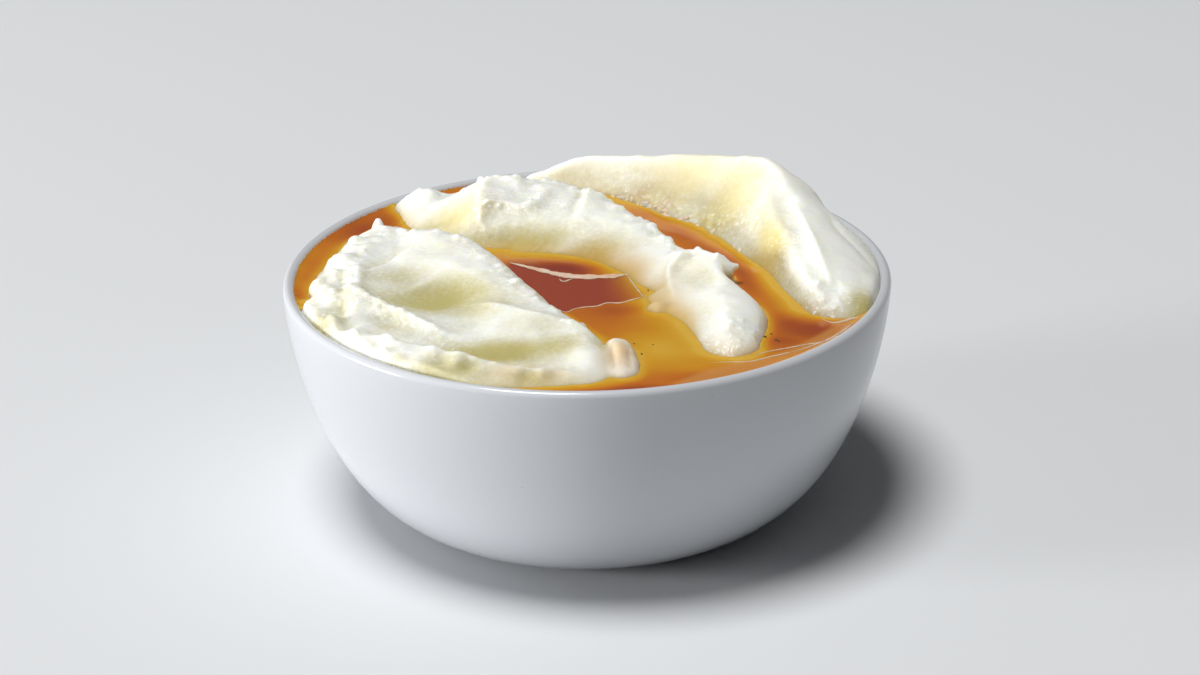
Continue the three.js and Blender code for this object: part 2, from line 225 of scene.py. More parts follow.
# A mound's stations run along its crest: (x, y, height above the gravy, and how far its foot at
# the gravy lies to the left and to the right of the crest). The flanks shape its left and right
# side: below 0 swells like a loaf, above 0 is hollowed like a scrape. Scrape is the depth of the
# spoon's long streaks, lumps the height of the soft bumps, and torn that of the crest's teeth.
MOUNDS = {
    "winding ridge": dict(
        stations=[(-37, 46, 2, 5, 6), (-33.3, 42.5, 3.8, 4, 9.5), (-29, 40, 3.4, 5, 16),
                  (-20, 36.5, 7.8, 8, 20), (-8, 34.5, 7.8, 8, 22), (2, 28, 6.8, 6, 21),
                  (10.5, 17, 5.3, 5.2, 13.8), (16.5, 6, 4.3, 5.0, 11), (19.5, 0, 4.5, 5.5, 11)],
        flanks=(-0.35, -0.45), crest_radius=2.5, blend=1.5, scrape=0.06, lumps=0.30, torn=0.35),
    "end lobe": dict(
        stations=[(21, 0, 5, 6, 10), (24, -5, 5.6, 5.5, 13), (25.5, -10, 4.9, 2.2, 15),
                  (26.5, -16, 4.4, 5.4, 14), (27, -24, 4.5, 7.4, 10), (26.3, -36, 3.2, 6.0, 5.5)],
        flanks=(-0.6, 0.3), crest_radius=3.0, blend=1.5, scrape=0.04, lumps=0.15, torn=0.10),
    "high bank": dict(
        stations=[(-11, 55.5, 1.8, 4, 3), (0, 53.5, 6.3, 7, 4), (12, 49.5, 7.5, 9.5, 8.6),
                  (22, 45, 9.4, 11, 12.8), (31, 37.5, 11.5, 11, 13.4), (38, 30, 13, 10, 15),
                  (43, 19, 9.4, 11.5, 13), (47, 4, 7, 12, 11.5), (49, -9, 5.3, 11, 10),
                  (49.5, -16, 3.8, 9, 7)],
        flanks=(-0.3, 0.8), crest_radius=2.2, blend=1.5, scrape=0.10, lumps=0.15, torn=0.10),
    "bank's inner edge": dict(
        stations=[(39.0, 26, 10.6, 11, 13), (38.2, 19, 8.9, 14, 10), (38.8, 11, 7.8, 16, 7.2),
                  (40.2, 4, 7.0, 17, 5.2), (41.4, -3.5, 6.2, 16, 4.2), (42.6, -11, 5.0, 14, 3.4),
                  (45, -17.5, 3.3, 10, 3.5)],
        flanks=(-0.75, 0.0), crest_radius=4.5, blend=2.5, scrape=0.02, lumps=0.12, torn=0.1),
    "front scoop": dict(
        stations=[(-41, 19, 3.4, 4, 10), (-36, 15.5, 4.2, 5, 20), (-28, 10, 6.3, 6, 38),
                  (-20, -2, 6.2, 6, 46), (-14.5, -13.5, 5.2, 5.5, 44), (-8.5, -24, 4.3, 5, 37),
                  (-2.5, -33.5, 3.4, 4.5, 24), (0.5, -42, 2.8, 4.5, 12)],
        flanks=(-0.3, -0.35), crest_radius=1.5, blend=1.2, scrape=0.015, lumps=0.12, torn=0.20),
    "left shoulder": dict(
        stations=[(-44, -22, 3.4, 16, 9), (-47, -14, 3.9, 7.5, 10), (-47, -5, 4.2, 7.5, 12),
                  (-44, 8, 4.0, 7.8, 12), (-41, 19, 3.4, 6, 9)],
        flanks=(-0.45, -0.3), crest_radius=3.0, blend=2.0, scrape=0.04, lumps=0.35, torn=0.25),
    "front skirt": dict(
        stations=[(-47, -26, 3.2, 12, 16), (-38, -37, 3.1, 12, 18), (-28, -44, 2.9, 12, 14),
                  (-16, -48, 2.3, 12, 7.5), (-2, -49.5, 1.7, 8, 4)],
        flanks=(-0.3, -0.3), crest_radius=2.0, blend=1.0, scrape=0.04, lumps=0.45, torn=0.10),
    "horn": dict(
        stations=[(-42.3, 21, 3, 2.5, 2.5), (-42.8, 24.2, 4.2, 2.2, 2.2)],
        flanks=(-0.1, -0.1), crest_radius=0.6, blend=0.4, scrape=0.0, lumps=0.0, torn=0.2),
    "lobe tip": dict(
        stations=[(25.5, -4.4, 5.4, 3, 3.4), (27.6, -5.6, 4.4, 1.6, 1.4)],
        flanks=(-0.3, -0.3), crest_radius=0.8, blend=0.6, scrape=0.0, lumps=0.1, torn=0.4),
    "broken piece": dict(
        stations=[(5.4, -39.3, 3.3, 3.4, 3.0), (5.9, -43.5, 2.9, 3.6, 3.4), (5.8, -47.2, 1.6, 3.6, 3.4)],
        flanks=(-0.6, -0.6), crest_radius=1.6, blend=0.5, scrape=0.0, lumps=0.15, torn=0.00),
}

# Relief pressed into the mounds: stations (x, y, raised or sunk by, width left, width right).
RELIEF = {
    "front fold crest": [(-45, -34.5, 0.3, 2.5, 3), (-38, -38.2, 0.9, 2.5, 3.5),
                         (-28.5, -43, 1.0, 2.5, 4), (-19, -47.2, 1.0, 2.5, 4), (-10.7, -49.8, 0.8, 2, 3),
                         (-3, -50.5, 0.4, 2, 3)],
    "front fold groove": [(-46, -29, -0.3, 4, 3), (-38.8, -34.4, -1.1, 6, 2.5), (-31, -37, -1.5, 7, 2.5),
                          (-24.4, -40.3, -1.9, 8, 2.5), (-18.8, -43.6, -2.0, 8, 2.5),
                          (-10.7, -46.3, -1.8, 8, 2.5), (-3, -47.6, -1.0, 6, 2.5)],
    "scoop roll": [(-24, -20.5, 0.3, 4, 7), (-19, -24.3, 1.0, 4.5, 9), (-11, -29.6, 1.5, 5, 11),
                   (-4.5, -32.5, 1.3, 4, 11), (1, -36, 0.8, 4, 8)],
    "scoop edge": [(-48, -12, 0.3, 3, 5), (-46, -14.7, 0.8, 3, 5), (-42, -19, 1.4, 3, 5.5),
                   (-35.5, -25.7, 1.7, 3, 5.5), (-31, -30, 1.4, 3, 5.5), (-27, -34, 0.7, 3, 5),
                   (-22, -37, 0.1, 3, 4)],
    "outer ridge": [(-45, 3, 0.1, 2, 3), (-44.6, -3, 0.7, 2.5, 3.5), (-44.4, -10, 1.1, 2.5, 3.5),
                    (-43.6, -16, 0.5, 2.5, 3.5)],
    "scoop crumple": [(-37, -13, 0.2, 1.8, 3), (-33, -10.5, 0.5, 1.8, 3), (-29, -8, 0.2, 1.8, 3)],
    "left crease": [(-48.6, 1, -0.2, 2.2, 4), (-48.2, -6, -0.5, 2.2, 4.5), (-47.6, -14, -0.7, 2.2, 5),
                    (-46.8, -22, -0.8, 2.2, 5), (-45.5, -29, -0.5, 2.2, 5), (-44.5, -34, -0.1, 2, 4)],
    "wall crease": [(49, 16, -0.2, 2, 3), (50, 9, -0.6, 2, 3), (53, 3, -0.6, 2, 3),
                    (56, -3, -0.4, 2, 3)],
    "bank's filled back": [(42, 16, 0.4, 3, 3), (43.6, 8, 1.3, 4, 4), (44.6, 1, 1.7, 4, 4),
                           (45.6, -7, 1.6, 4, 4), (46.8, -14, 0.7, 3, 3)],
    "ridge flake": [(-2.6, 19, 0.2, 1.4, 8), (-1.2, 22, 0.9, 1.4, 9), (-0.3, 25, 1.3, 1.4, 9),
                    (0.8, 29, 0.5, 1.4, 7)],
    "ridge gap": [(-0.6, 36, -1.4, 2.4, 2.2), (-1.2, 31, -1.1, 2.4, 1.6), (-2.4, 26, -0.4, 2.2, 1.2),
                  (-3.4, 22, -0.1, 2, 1.0)],
    "ridge block": [(-21.5, 20, 0.5, 1.2, 6), (-22.5, 25, 1.4, 1.2, 7), (-22, 31, 1.1, 1.5, 7),
                    (-20.5, 36, 0.5, 1.5, 5)],
    "ridge brow": [(-22.5, 20.5, 0.3, 4, 2), (-21, 24.6, 0.8, 5, 2.2), (-17.7, 25.8, 0.9, 5, 2.4),
                   (-12, 24.2, 0.9, 5, 2.4), (-9, 27.5, 0.7, 5, 2.2), (-7, 31, 0.3, 4, 2)],
    "broken piece fold": [(4.2, -41, -0.2, 1.0, 1.0), (4.4, -44.5, -0.6, 1.1, 1.1),
                          (4.6, -48, -0.5, 1.1, 1.1)],
    "broken piece crease": [(7.3, -41, -0.2, 0.8, 0.8), (7.4, -44.5, -0.5, 0.9, 0.9),
                            (7.4, -48, -0.4, 0.9, 0.9)],
    "lobe rim": [(17, -16, 0.3, 1.6, 3), (15.9, -9, 1.0, 1.4, 3), (16.2, -4.4, 1.1, 1.3, 3),
                 (18.6, -1.6, 1.1, 1.3, 3), (21.6, -1.2, 1.1, 1.2, 3), (24.4, -3.4, 1.1, 1.2, 3),
                 (27.2, -4.9, 1.2, 1.2, 3), (28.8, -6.4, 0.8, 1.2, 2)],
}

# Hollows pressed by the back of a spoon: (x, y, half length, half width, turn, depth).
HOLLOWS = [(-30.5, -15.5, 17, 10.5, -45, 3.0), (-28, 28, 7.5, 6, 20, 1.6), (-37, -3, 6, 5, -60, 0.4),
           (-37, -29.5, 8, 3.2, -42, 0.8), (22.3, -10.5, 7.5, 4.2, -65, 1.0),
           (-12, 17, 9, 4.5, -5, 0.8)]

# Small rounded lumps: (x, y, height above the gravy, radius), and how softly they join the rest.
LUMP_BLEND = 0.6
LUMPS = [(-15.0, -50.3, 1.9, 2.6), (13.6, -17.6, 1.5, 2.6), (-6.0, -51.0, 0.9, 1.7),
         (-54.2, -11.5, 0.7, 1.6)]

# The bed under the gravy: its height, and where it lies deeper or shallower (x, y, half length
# along x, half length along y, rise).
BED_HEIGHT = -3.2
BED_FORMS = [(2, -6, 10, 12, -2.8), (14, -38, 12, 12, 1.8), (41, -26, 8, 7, -1.8)]

# Where the potato is clumpy like cauliflower: (x, y, half length along x, along y, height).
CLUMPS = [(-50, -4, 5, 20, 0.66), (-39, 10, 7, 8, 0.2), (-33, 39, 5, 4, 0.5), (-44, -36, 9, 7, 0.5),
          (-27, -43, 12, 3.5, 0.16), (-10, -49, 9, 2.5, 0.2), (-18, 33, 9, 4, 0.25),
          (6, -44, 5, 6, 0.2), (-12, -16, 6, 13, 0.22), (27, -35, 6, 6, 0.12),
          (46, -16, 6, 7, 0.15), (4, 46, 9, 4, 0.2), (20, -3, 8, 4, 0.3),
          (-36, -25, 6, 5, 0.25), (10, 20, 6, 9, 0.15)]

# Where it is grainy and wet, so bumpier and glossier and dotted with painted glints: (x, y, half length
# along x, along y, strength).
SPARKLES = [(-45.3, -16, 3.5, 4, 0.9), (-41, -21, 4, 3, 1.0), (-36.4, -26.2, 4, 2.8, 1.0),
            (-32, -30.8, 3.5, 2.5, 0.9),
            (-20, 27, 4, 5, 1.0), (-16, 29, 5, 5, 0.9), (-8, 26, 7, 4, 1.0), (0, 20, 3, 6, 0.6),
            (25, -38, 5, 5, 1.0), (30, -34, 4, 5, 0.9), (44, -22, 6, 5, 0.9), (40, 1, 3, 9, 0.8),
            (-49, -4, 5, 22, 0.6), (-38, -42, 9, 5, 0.5), (-40, 10, 6, 7, 0.4)]

# Round lumps in three dimensions: (x, y, height above the gravy, radius). The first ones are the
# end lobe's torn tip, which hangs over the gravy, then come the left shoulder's lumpy outline and
# broken bits at the high bank's foot.
ROUND_LUMPS = [(27.0, -4.9, 3.6, 1.4), (28.4, -5.1, 3.6, 1.0), (29.4, -5.1, 3.7, 0.7),
               (27.4, -6.0, 2.6, 1.3),
               (-46.3, 13.5, 2.5, 1.8), (-47.6, 8.6, 1.9, 1.0), (-49.6, 3.6, 1.4, 2.4),
               (-51.6, -2.4, 1.1, 0.9), (-51.9, -8.2, 1.1, 2.6), (-53.0, -16.4, 0.9, 1.6),
               (-50.2, -13.0, 2.0, 2.1), (-51.5, -21.6, 1.6, 1.4), (-48.3, -28.0, 2.3, 1.9),
               (-44.0, -35.5, 2.6, 1.7), (-38.0, -42.5, 2.4, 1.6),
               (10.8, 42.0, 0.3, 1.1), (12.2, 40.7, 0.2, 0.9), (15.3, 37.2, 0.3, 1.1),
               (16.9, 35.1, 0.1, 0.9)]

# Torn, crumbly crests: how many crumbs, how far they scatter, and stations (x, y).
TORN_CRESTS = {
    "front scoop": (40, 1.5, [(-38, 16.5), (-28, 10.5), (-20, -1.5), (-14.5, -13), (-8, -24),
                              (-2, -33.5)]),
    "winding ridge back": (64, 1.7, [(-22, 37.5), (-8, 35.5), (2.5, 29), (11.5, 18), (17.5, 7)]),
    "winding ridge end": (16, 1.2, [(17.5, 1), (20.5, -0.5), (24.5, -2.5), (28.5, -5.5)]),
    "left shoulder": (18, 4.0, [(-43, 17), (-46.5, 8), (-49, -5), (-50.5, -16), (-50, -24)]),
    "scoop edge": (30, 2.2, [(-46, -14.5), (-42, -19), (-35.5, -25.7), (-31, -30), (-27, -34)]),
    "ridge brow": (12, 1.2, [(-22, 22), (-19.5, 25.3), (-14.6, 24.7), (-9.5, 27.1), (-7.8, 30)]),
    "high bank foot": (34, 1.4, [(8, 44.5), (13.5, 40), (20, 32), (26, 25.5), (31, 19.5), (34, 13)]),
    "knob": (9, 1.2, [(-34.2, 41.5), (-31.5, 39.8)]),
    "lobe end": (8, 2.4, [(27, -33), (30, -34)]),
    "bank end": (12, 3.0, [(44, -18), (46, -21)]),
}

# Sizes of the relief on every mound: the spoon's streaks are long and narrow, the soft bumps
# round, and the teeth of a torn crest small.
STREAK_LENGTH, STREAK_WIDTH = 16, 1.7
BUMP_SIZE = 2.6
TOOTH_LENGTH, TOOTH_WIDTH = 0.9, 1.1
DEEPEST = -9  # no mound's flank goes lower than this
# The whole surface is a little uneven besides: (seed, size of the swells, their height).
SWELLS = [(101, 5.5, 0.25), (102, 2.4, 0.08)]


def crest_line(stations, pieces_per_span=5):
    """The stations joined by a smooth curve and cut into short straight pieces."""
    stations = np.array(stations, float)
    padded = np.vstack([2 * stations[0] - stations[1], stations, 2 * stations[-1] - stations[-2]])
    line = []
    for before, start, end, after in zip(padded, padded[1:], padded[2:], padded[3:]):
        for t in np.arange(pieces_per_span) / pieces_per_span:
            line.append(0.5 * (2 * start + (end - before) * t
                               + (2 * before - 5 * start + 4 * end - after) * t ** 2
                               + (3 * start - before - 3 * end + after) * t ** 3))
    return np.array(line + [stations[-1]])


def beside(x, y, stations):
    """Where points lie beside a crest: distance, share of its right side, run along it, and the
    crest's other columns there."""
    line = crest_line(stations)
    distance = np.full(x.shape, np.inf)
    right_share = np.zeros(x.shape)
    run = np.zeros(x.shape)
    columns = np.zeros((line.shape[1] - 2, *x.shape))
    passed = 0.0
    for a, b in zip(line, line[1:]):
        dx, dy = b[:2] - a[:2]
        length = math.hypot(dx, dy)
        t = np.clip(((x - a[0]) * dx + (y - a[1]) * dy) / length ** 2, 0, 1)
        gap = np.hypot(x - a[0] - t * dx, y - a[1] - t * dy)
        nearer = gap < distance
        to_right = ((x - a[0]) * dy - (y - a[1]) * dx) / length
        side = np.clip(to_right / np.maximum(gap, 1e-6), -1, 1)
        distance = np.where(nearer, gap, distance)
        right_share = np.where(nearer, (1 + side) / 2, right_share)
        run = np.where(nearer, passed + t * length, run)
        for column, low, high in zip(columns, a[2:], b[2:]):
            column[nearer] = (low + t * (high - low))[nearer]
        passed += length
    return distance, right_share, run, columns


def noise(seed, *axes):
    """Smooth noise between -1 and 1, with one lattice step for each unit along each axis."""
    size = 64
    lattice = np.random.default_rng(seed).uniform(-1, 1, (size,) * len(axes))
    floors = [np.floor(axis).astype(int) for axis in axes]
    eased = [(axis - low) ** 2 * (3 - 2 * (axis - low)) for axis, low in zip(axes, floors)]
    total = 0
    for corner in np.ndindex(*(2,) * len(axes)):
        weight = 1
        for step, share in zip(corner, eased):
            weight = weight * (share if step else 1 - share)
        total = total + weight * lattice[tuple((low + step) % size for low, step in zip(floors, corner))]
    return total


def blended_max(a, b, blend):
    """The larger of two values, rounded over where they meet."""
    share = np.clip(0.5 + (a - b) / (2 * blend), 0, 1)
    return b + (a - b) * share + blend * share * (1 - share)


def mound_height(x, y, mound, seed):
    """Height of one mound above the gravy's level, with its own relief."""
    distance, right_share, run, (height, left, right) = beside(x, y, mound["stations"])
    width = left + (right - left) * right_share
    flank = mound["flanks"][0] + (mound["flanks"][1] - mound["flanks"][0]) * right_share
    radius = mound["crest_radius"]
    out = (np.hypot(distance, radius) - radius) / (np.hypot(width, radius) - radius)
    swollen = (out > 1) & (flank < 0)
    surface = np.where(swollen, height / (1 + flank) * (1 - out), height * (1 - out) / (1 + flank * out))
    streaks = noise(seed, run / STREAK_LENGTH, distance / STREAK_WIDTH) * np.clip(distance / 3, 0, 1)
    lumps = noise(seed + 1, run / BUMP_SIZE, distance / BUMP_SIZE) * (0.3 + np.exp(-(distance / 3) ** 2))
    teeth = noise(seed + 2, run / TOOTH_LENGTH, distance / TOOTH_WIDTH) * np.exp(-(distance / 1.2) ** 2)
    relief = mound["scrape"] * streaks + mound["lumps"] * lumps + mound["torn"] * teeth
    return np.maximum(surface + relief * np.clip(surface / 1.5, 0.15, 1), DEEPEST)


def mash_height(x, y):
    """Height of the potato above the gravy's level."""
    height = np.full(x.shape, BED_HEIGHT)
    for cx, cy, length_x, length_y, rise in BED_FORMS:
        height += rise * np.exp(-((x - cx) / length_x) ** 2 - ((y - cy) / length_y) ** 2)
    for seed, mound in enumerate(MOUNDS.values()):
        height = blended_max(height, mound_height(x, y, mound, 10 * seed), mound["blend"])
    for cx, cy, rise, radius in LUMPS:
        out = np.hypot(x - cx, y - cy) / radius
        height = blended_max(height, rise * (1 - out ** 2), LUMP_BLEND)
    for stations in RELIEF.values():
        distance, right_share, _, (raised, left, right) = beside(x, y, stations)
        out = np.minimum(distance / (left + (right - left) * right_share), 1)
        height += raised * (1 - out) ** 2
    for cx, cy, length, width, turn, depth in HOLLOWS:
        angle = math.radians(turn)
        u = ((x - cx) * math.cos(angle) + (y - cy) * math.sin(angle)) / length
        v = ((y - cy) * math.cos(angle) - (x - cx) * math.sin(angle)) / width
        height -= depth * np.clip(1 - u * u - v * v, 0, 1) ** 2
    uneven = sum(rise * noise(seed, x / size, y / size) for seed, size, rise in SWELLS)
    return height + uneven * np.clip(height / 2, 0.25, 1)


def wall_radius(height):
    """Radius of the bowl's inner wall at a height, from the same curve as its profile."""
    t = np.linspace(0, 1, 200)[:, None]
    knots = np.array([(FLOOR_RADIUS, FLOOR_THICKNESS), INNER_HANDLE,
                      (MOUTH_RADIUS, LIP_START - INNER_UPRIGHT), (MOUTH_RADIUS, LIP_START)])
    curve = ((1 - t) ** 3 * knots[0] + 3 * (1 - t) ** 2 * t * knots[1]
             + 3 * (1 - t) * t ** 2 * knots[2] + t ** 3 * knots[3])
    return np.interp(height, curve[:, 1], curve[:, 0])


def crumbs_along(count, scatter, stations, seed):
    """Crumbs scattered about a torn crest: x, y and radius of each."""
    rng = np.random.default_rng(seed)
    line = crest_line([(*spot, 0) for spot in stations], 12)
    spots = line[rng.integers(0, len(line), count), :2] + rng.normal(0, scatter / 2, (count, 2))
    return np.column_stack([spots, 0.4 + 0.6 * rng.random(count) ** 2])


def surface_of(field, axes):
    """The surface where a field is zero, below zero inside: one vertex in each cell that it
    crosses, at the mean of the crossings on the cell's edges, and four-sided faces."""
    cells = np.array(field.shape) - 1
    total = np.zeros((3, cells.prod()))
    count = np.zeros(cells.prod())
    faces = []
    for axis in range(3):
        low = np.delete(field, -1, axis)
        high = np.delete(field, 0, axis)
        crossed = (low < 0) != (high < 0)
        at = np.argwhere(crossed)
        share = (low / np.where(crossed, low - high, 1))[crossed]
        u, v = (axis + 1) % 3, (axis + 2) % 3
        ringed = (at[:, u] > 0) & (at[:, v] > 0) & (at[:, u] < cells[u]) & (at[:, v] < cells[v])
        at, share, inside_low = at[ringed], share[ringed], (low < 0)[crossed][ringed]
        point = np.stack([axes[k][at[:, k]] for k in range(3)])
        point[axis] += share * (axes[axis][at[:, axis] + 1] - axes[axis][at[:, axis]])
        ring = []
        for du, dv in ((-1, -1), (0, -1), (0, 0), (-1, 0)):
            cell = at.copy()
            cell[:, u] += du
            cell[:, v] += dv
            ring.append(np.ravel_multi_index(cell.T, cells))
            count += np.bincount(ring[-1], minlength=len(count))
            for k in range(3):
                total[k] += np.bincount(ring[-1], point[k], len(count))
        quads = np.stack(ring, 1)
        quads[~inside_low] = quads[~inside_low][:, ::-1]
        faces.append(quads)
    used = count > 0
    return (total[:, used] / count[used]).T, (np.cumsum(used) - 1)[np.vstack(faces)]


def without_pinches(field):
    """The field with no point on the surface itself, and with the air filled in wherever solid and
    air meet only across a lattice square's diagonal, so that every edge joins just two faces."""
    field = np.where(np.abs(field) < LEAST_GAP, np.copysign(LEAST_GAP, field), field)
    square = ((0, 0), (1, 0), (1, 1), (0, 1))
    while True:
        solid = field < 0
        pinched = np.zeros(field.shape, bool)
        for axes in ((0, 1), (1, 2), (0, 2)):
            a, b, c, d = [np.roll(solid, (-du, -dv), axes) for du, dv in square]
            crossed = (a == c) & (b == d) & (a != b)
            for corner in square:
                pinched |= np.roll(crossed, corner, axes)
        pinched &= ~solid
        if not pinched.any():
            return field
        field[pinched] = -LEAST_GAP


def close_below(vertices, faces):
    """Carries the open lower edge down the bowl's wall in rings and closes it on the floor."""
    edges = np.sort(np.vstack([faces[:, [k, (k + 1) % 4]] for k in range(4)]), 1)
    unique, uses = np.unique(edges, axis=0, return_counts=True)
    loop = np.unique(unique[uses == 1])
    angle = np.arctan2(vertices[loop, 1], vertices[loop, 0])
    order = np.argsort(angle)
    upper, angle = loop[order], angle[order]
    following = np.roll(np.arange(len(upper)), -1)
    quads = [faces]
    start = vertices[upper, 2].min() - 1
    for height in np.linspace(start, FLOOR_THICKNESS - SEAL, WALL_RINGS):
        radius = wall_radius(height) + SEAL
        ring = np.column_stack([radius * np.cos(angle), radius * np.sin(angle),
                                np.full(len(angle), height)])
        lower = len(vertices) + np.arange(len(angle))
        vertices = np.vstack([vertices, ring])
        quads.append(np.column_stack([upper, lower, lower[following], upper[following]]))
        upper = lower
    fan = [(len(vertices), b, a) for a, b in zip(upper, upper[following])]
    return np.vstack([vertices, (0, 0, FLOOR_THICKNESS - SEAL)]), np.vstack(quads).tolist() + fan


def sky_share(surface):
    """How much of the sky each point of a height map sees: 1 on a crest, less in a hollow."""
    seen = np.zeros(surface.shape)
    directions = 16
    for turn in 2 * np.pi * np.arange(directions) / directions:
        horizon = np.zeros(surface.shape)
        for distance in (0.9, 1.8, 3, 4.5, 7, 11, 17):
            step = np.rint(distance / CELL * np.array([math.cos(turn), math.sin(turn)])).astype(int)
            away = np.roll(surface, tuple(-step), (0, 1))
            horizon = np.maximum(horizon, (away - surface) / (CELL * np.hypot(*step)))
        seen += 1 - horizon / np.hypot(1, horizon)
    return seen / directions


def near(x, y, spots):
    """How strongly points lie in any of some soft round patches (x, y, half length along x, along
    y, strength)."""
    total = np.zeros(x.shape)
    for cx, cy, length_x, length_y, strength in spots:
        share = np.exp(-((x - cx) / length_x) ** 2 - ((y - cy) / length_y) ** 2)
        total = np.maximum(total, strength * share)
    return total


def nearest_point(spots):
    """The numbers, along x and along y, of the lattice points nearest to some spots (x, y)."""
    return np.rint((np.asarray(spots, float) - line[0]) / CELL).astype(int)


def at_vertices(values, vertices):
    """A map's values under the vertices, read between its points."""
    steps = (vertices[:, :2] - line[0]) / CELL
    low = np.clip(np.floor(steps).astype(int), 0, len(line) - 2)
    (i, j), (s, t) = low.T, (steps - low).T
    return ((values[i, j] * (1 - s) + values[i + 1, j] * s) * (1 - t)
            + (values[i, j + 1] * (1 - s) + values[i + 1, j + 1] * s) * t)


def new_piece(name, vertices, faces, material, **marks):
    """A smooth mesh piece from vertices in millimetres, with a named value at each vertex."""
    mesh = bpy.data.meshes.new(name)
    mesh.from_pydata((vertices * MM).tolist(), [], faces)
    mesh.polygons.foreach_set("use_smooth", [True] * len(mesh.polygons))
    for mark, values in marks.items():
        mesh.attributes.new(mark, "FLOAT", "POINT").data.foreach_set("value", values.astype(np.float32))
    mesh.materials.append(material)
    mesh.validate()
    return in_scene(name, mesh)


reach = math.ceil(BOWL_RADIUS / CELL) * CELL
line = np.arange(-reach, reach + CELL / 2, CELL)
x, y = np.meshgrid(line, line, indexing="ij")
radius = np.hypot(x, y)
height = mash_height(x, y)

# Heights above the gravy that the lattice's layers lie at, coarse where the gravy hides them.
levels = np.append(np.arange(-8, -0.5, 1.0), np.arange(-0.5, 15.5, CELL))
slope = np.hypot(*np.gradient(height, CELL))
steepness = np.hypot(1, np.minimum(slope, 3))[..., None]
field = (levels - height[..., None]) / steepness
torn_lumps = np.vstack([crumbs_along(*torn, seed) for seed, torn in enumerate(TORN_CRESTS.values())])
i, j = nearest_point(torn_lumps[:, :2]).T
CRUMB_SUNK = 0.35  # a torn crumb's middle lies this share of its radius under the surface
torn_lumps = np.insert(torn_lumps, 2, height[i, j] - CRUMB_SUNK * torn_lumps[:, 2], axis=1)
BALL_CELLS = int(3.3 / CELL)  # a lump changes the field this many points around it
SOFT_JOIN = 0.5  # lumps join the surface, and the surface the wall, over this width
for cx, cy, cz, ball_radius in [*torn_lumps, *ROUND_LUMPS]:
    i, j = nearest_point((cx, cy))
    block = tuple(slice(at - BALL_CELLS, at + BALL_CELLS + 1) for at in (i, j))
    ball = np.sqrt((x[block] - cx)[..., None] ** 2 + (y[block] - cy)[..., None] ** 2
                   + (levels - cz) ** 2) - ball_radius
    field[block] = -blended_max(-field[block], -ball, SOFT_JOIN)

# Grain in three dimensions near the surface, so that steep faces are as lumpy as flat ones.
# Clumps are (seed, size, share of the height); single grains are 1 mm.
CLUMP_NOISES = [(202, 3.0, 1.6), (203, 1.4, 0.7)]
i, j, k = np.nonzero(np.abs(field) < 1.2)
px, py, pz = line[i], line[j], levels[k]
torn_share = np.zeros(x.shape)
for count, scatter, stations in TORN_CRESTS.values():
    distance = beside(x, y, [(*spot, 0) for spot in stations])[0]
    torn_share = np.maximum(torn_share, np.exp(-(distance / (2.2 * scatter)) ** 2))
clump = sum(share * noise(seed, px / size, py / size, pz / size) for seed, size, share in CLUMP_NOISES)
grainy = np.maximum(torn_share, near(x, y, SPARKLES))
grain = noise(201, px, py, pz) * (0.03 + 0.13 * grainy[i, j])
field[i, j, k] += grain - near(x, y, CLUMPS)[i, j] * clump

# The wall holds the potato in. Above the lip it leans inwards by this much a millimetre.
LEAN = 0.35
layer_height = levels + GRAVY_LEVEL
inside_wall = np.where(layer_height < LIP_START, wall_radius(layer_height) + SEAL,
                       MOUTH_RADIUS + SEAL - LEAN * np.maximum(layer_height - LIP_START, 0))
field = blended_max(field, radius[..., None] - inside_wall, SOFT_JOIN)

vertices, faces = surface_of(without_pinches(field), (line, line, levels))
vertices[:, 2] += GRAVY_LEVEL
vertices, faces = close_below(vertices, faces)

# What the potato took up, and painted shade: gravy soaks into it from its edge and left a stain where
# some was spilt. Its hollows, by how little sky they see, and listed slopes turned from the lamps are
# tinted olive as painted shade, less so in a few patches that are lit. All patches are (x, y, half
# length along x, along y, strength). SOAKED's strength is how many millimetres further up than
# elsewhere the gravy soaked.
seen_surface = np.where(radius < MOUTH_RADIUS, np.maximum(height, 0), BOWL_HEIGHT - GRAVY_LEVEL)
painted_shade_map = 1 - sky_share(np.where(radius > BOWL_RADIUS - 1, -20, seen_surface))
STAINS = [(-28, 25, 6, 6, 0.7), (19, 39, 13, 8, 0.55), (28, 27, 8, 9, 0.5), (-10, 14, 12, 5, 0.2),
          (37.5, 4, 3, 9, 0.6), (36, 16, 3, 7, 0.25)]
PINKISH = [(5.8, -43.5, 3.6, 6, 1.0), (-15, -50.3, 2.6, 2.6, 0.5), (-5.5, -50.6, 3, 1.6, 0.4),
           (13.6, -17.6, 2.4, 2.4, 0.5), (11.3, 41.4, 2.4, 2.0, 0.7), (16.2, 36, 2.4, 2.4, 0.7)]
PAINTED_SHADE_PATCHES = [(-28, -17, 15, 9, 0.48), (-21, -22, 9, 10, 0.42), (-36, -7, 8, 5, 0.32),
                (-29, 2, 13, 10, 0.2), (-9, -33, 9, 5, 0.26), (-6, -40, 8, 4, 0.5),
                (-15, -40, 12, 3.6, 0.58), (-37, -29, 9, 3.5, 0.12), (-27, -50, 16, 5, 0.48),
                (-50, -27, 5, 7, 0.46), (-48, -14, 2, 10, 0.2), (-46, -18, 5, 8, 0.2),
                (-35.5, -45, 4, 2, 0.34),
                (-13, 20, 12, 8, 0.1), (-13, 15.5, 12, 5, 0.4), (2, 10, 9, 6, 0.34), (-12, -52, 10, 3, 0.35),
                (28, 25, 7, 8, 0.18), (37, 8, 3, 9, 0.25), (53, -21, 4, 5, 0.48), (22, -10, 6, 8, 0.2),
                (21, -23, 7, 8, 0.12), (-28, 27, 7, 7, 0.1)]
SHADE_LIFTED_PATCHES = [(12, 47, 16, 4, 0.02), (28, -36, 6, 5, 0.1), (47, 0, 5, 16, 0.06),
                (28, -5, 3, 2.5, 0.3)]
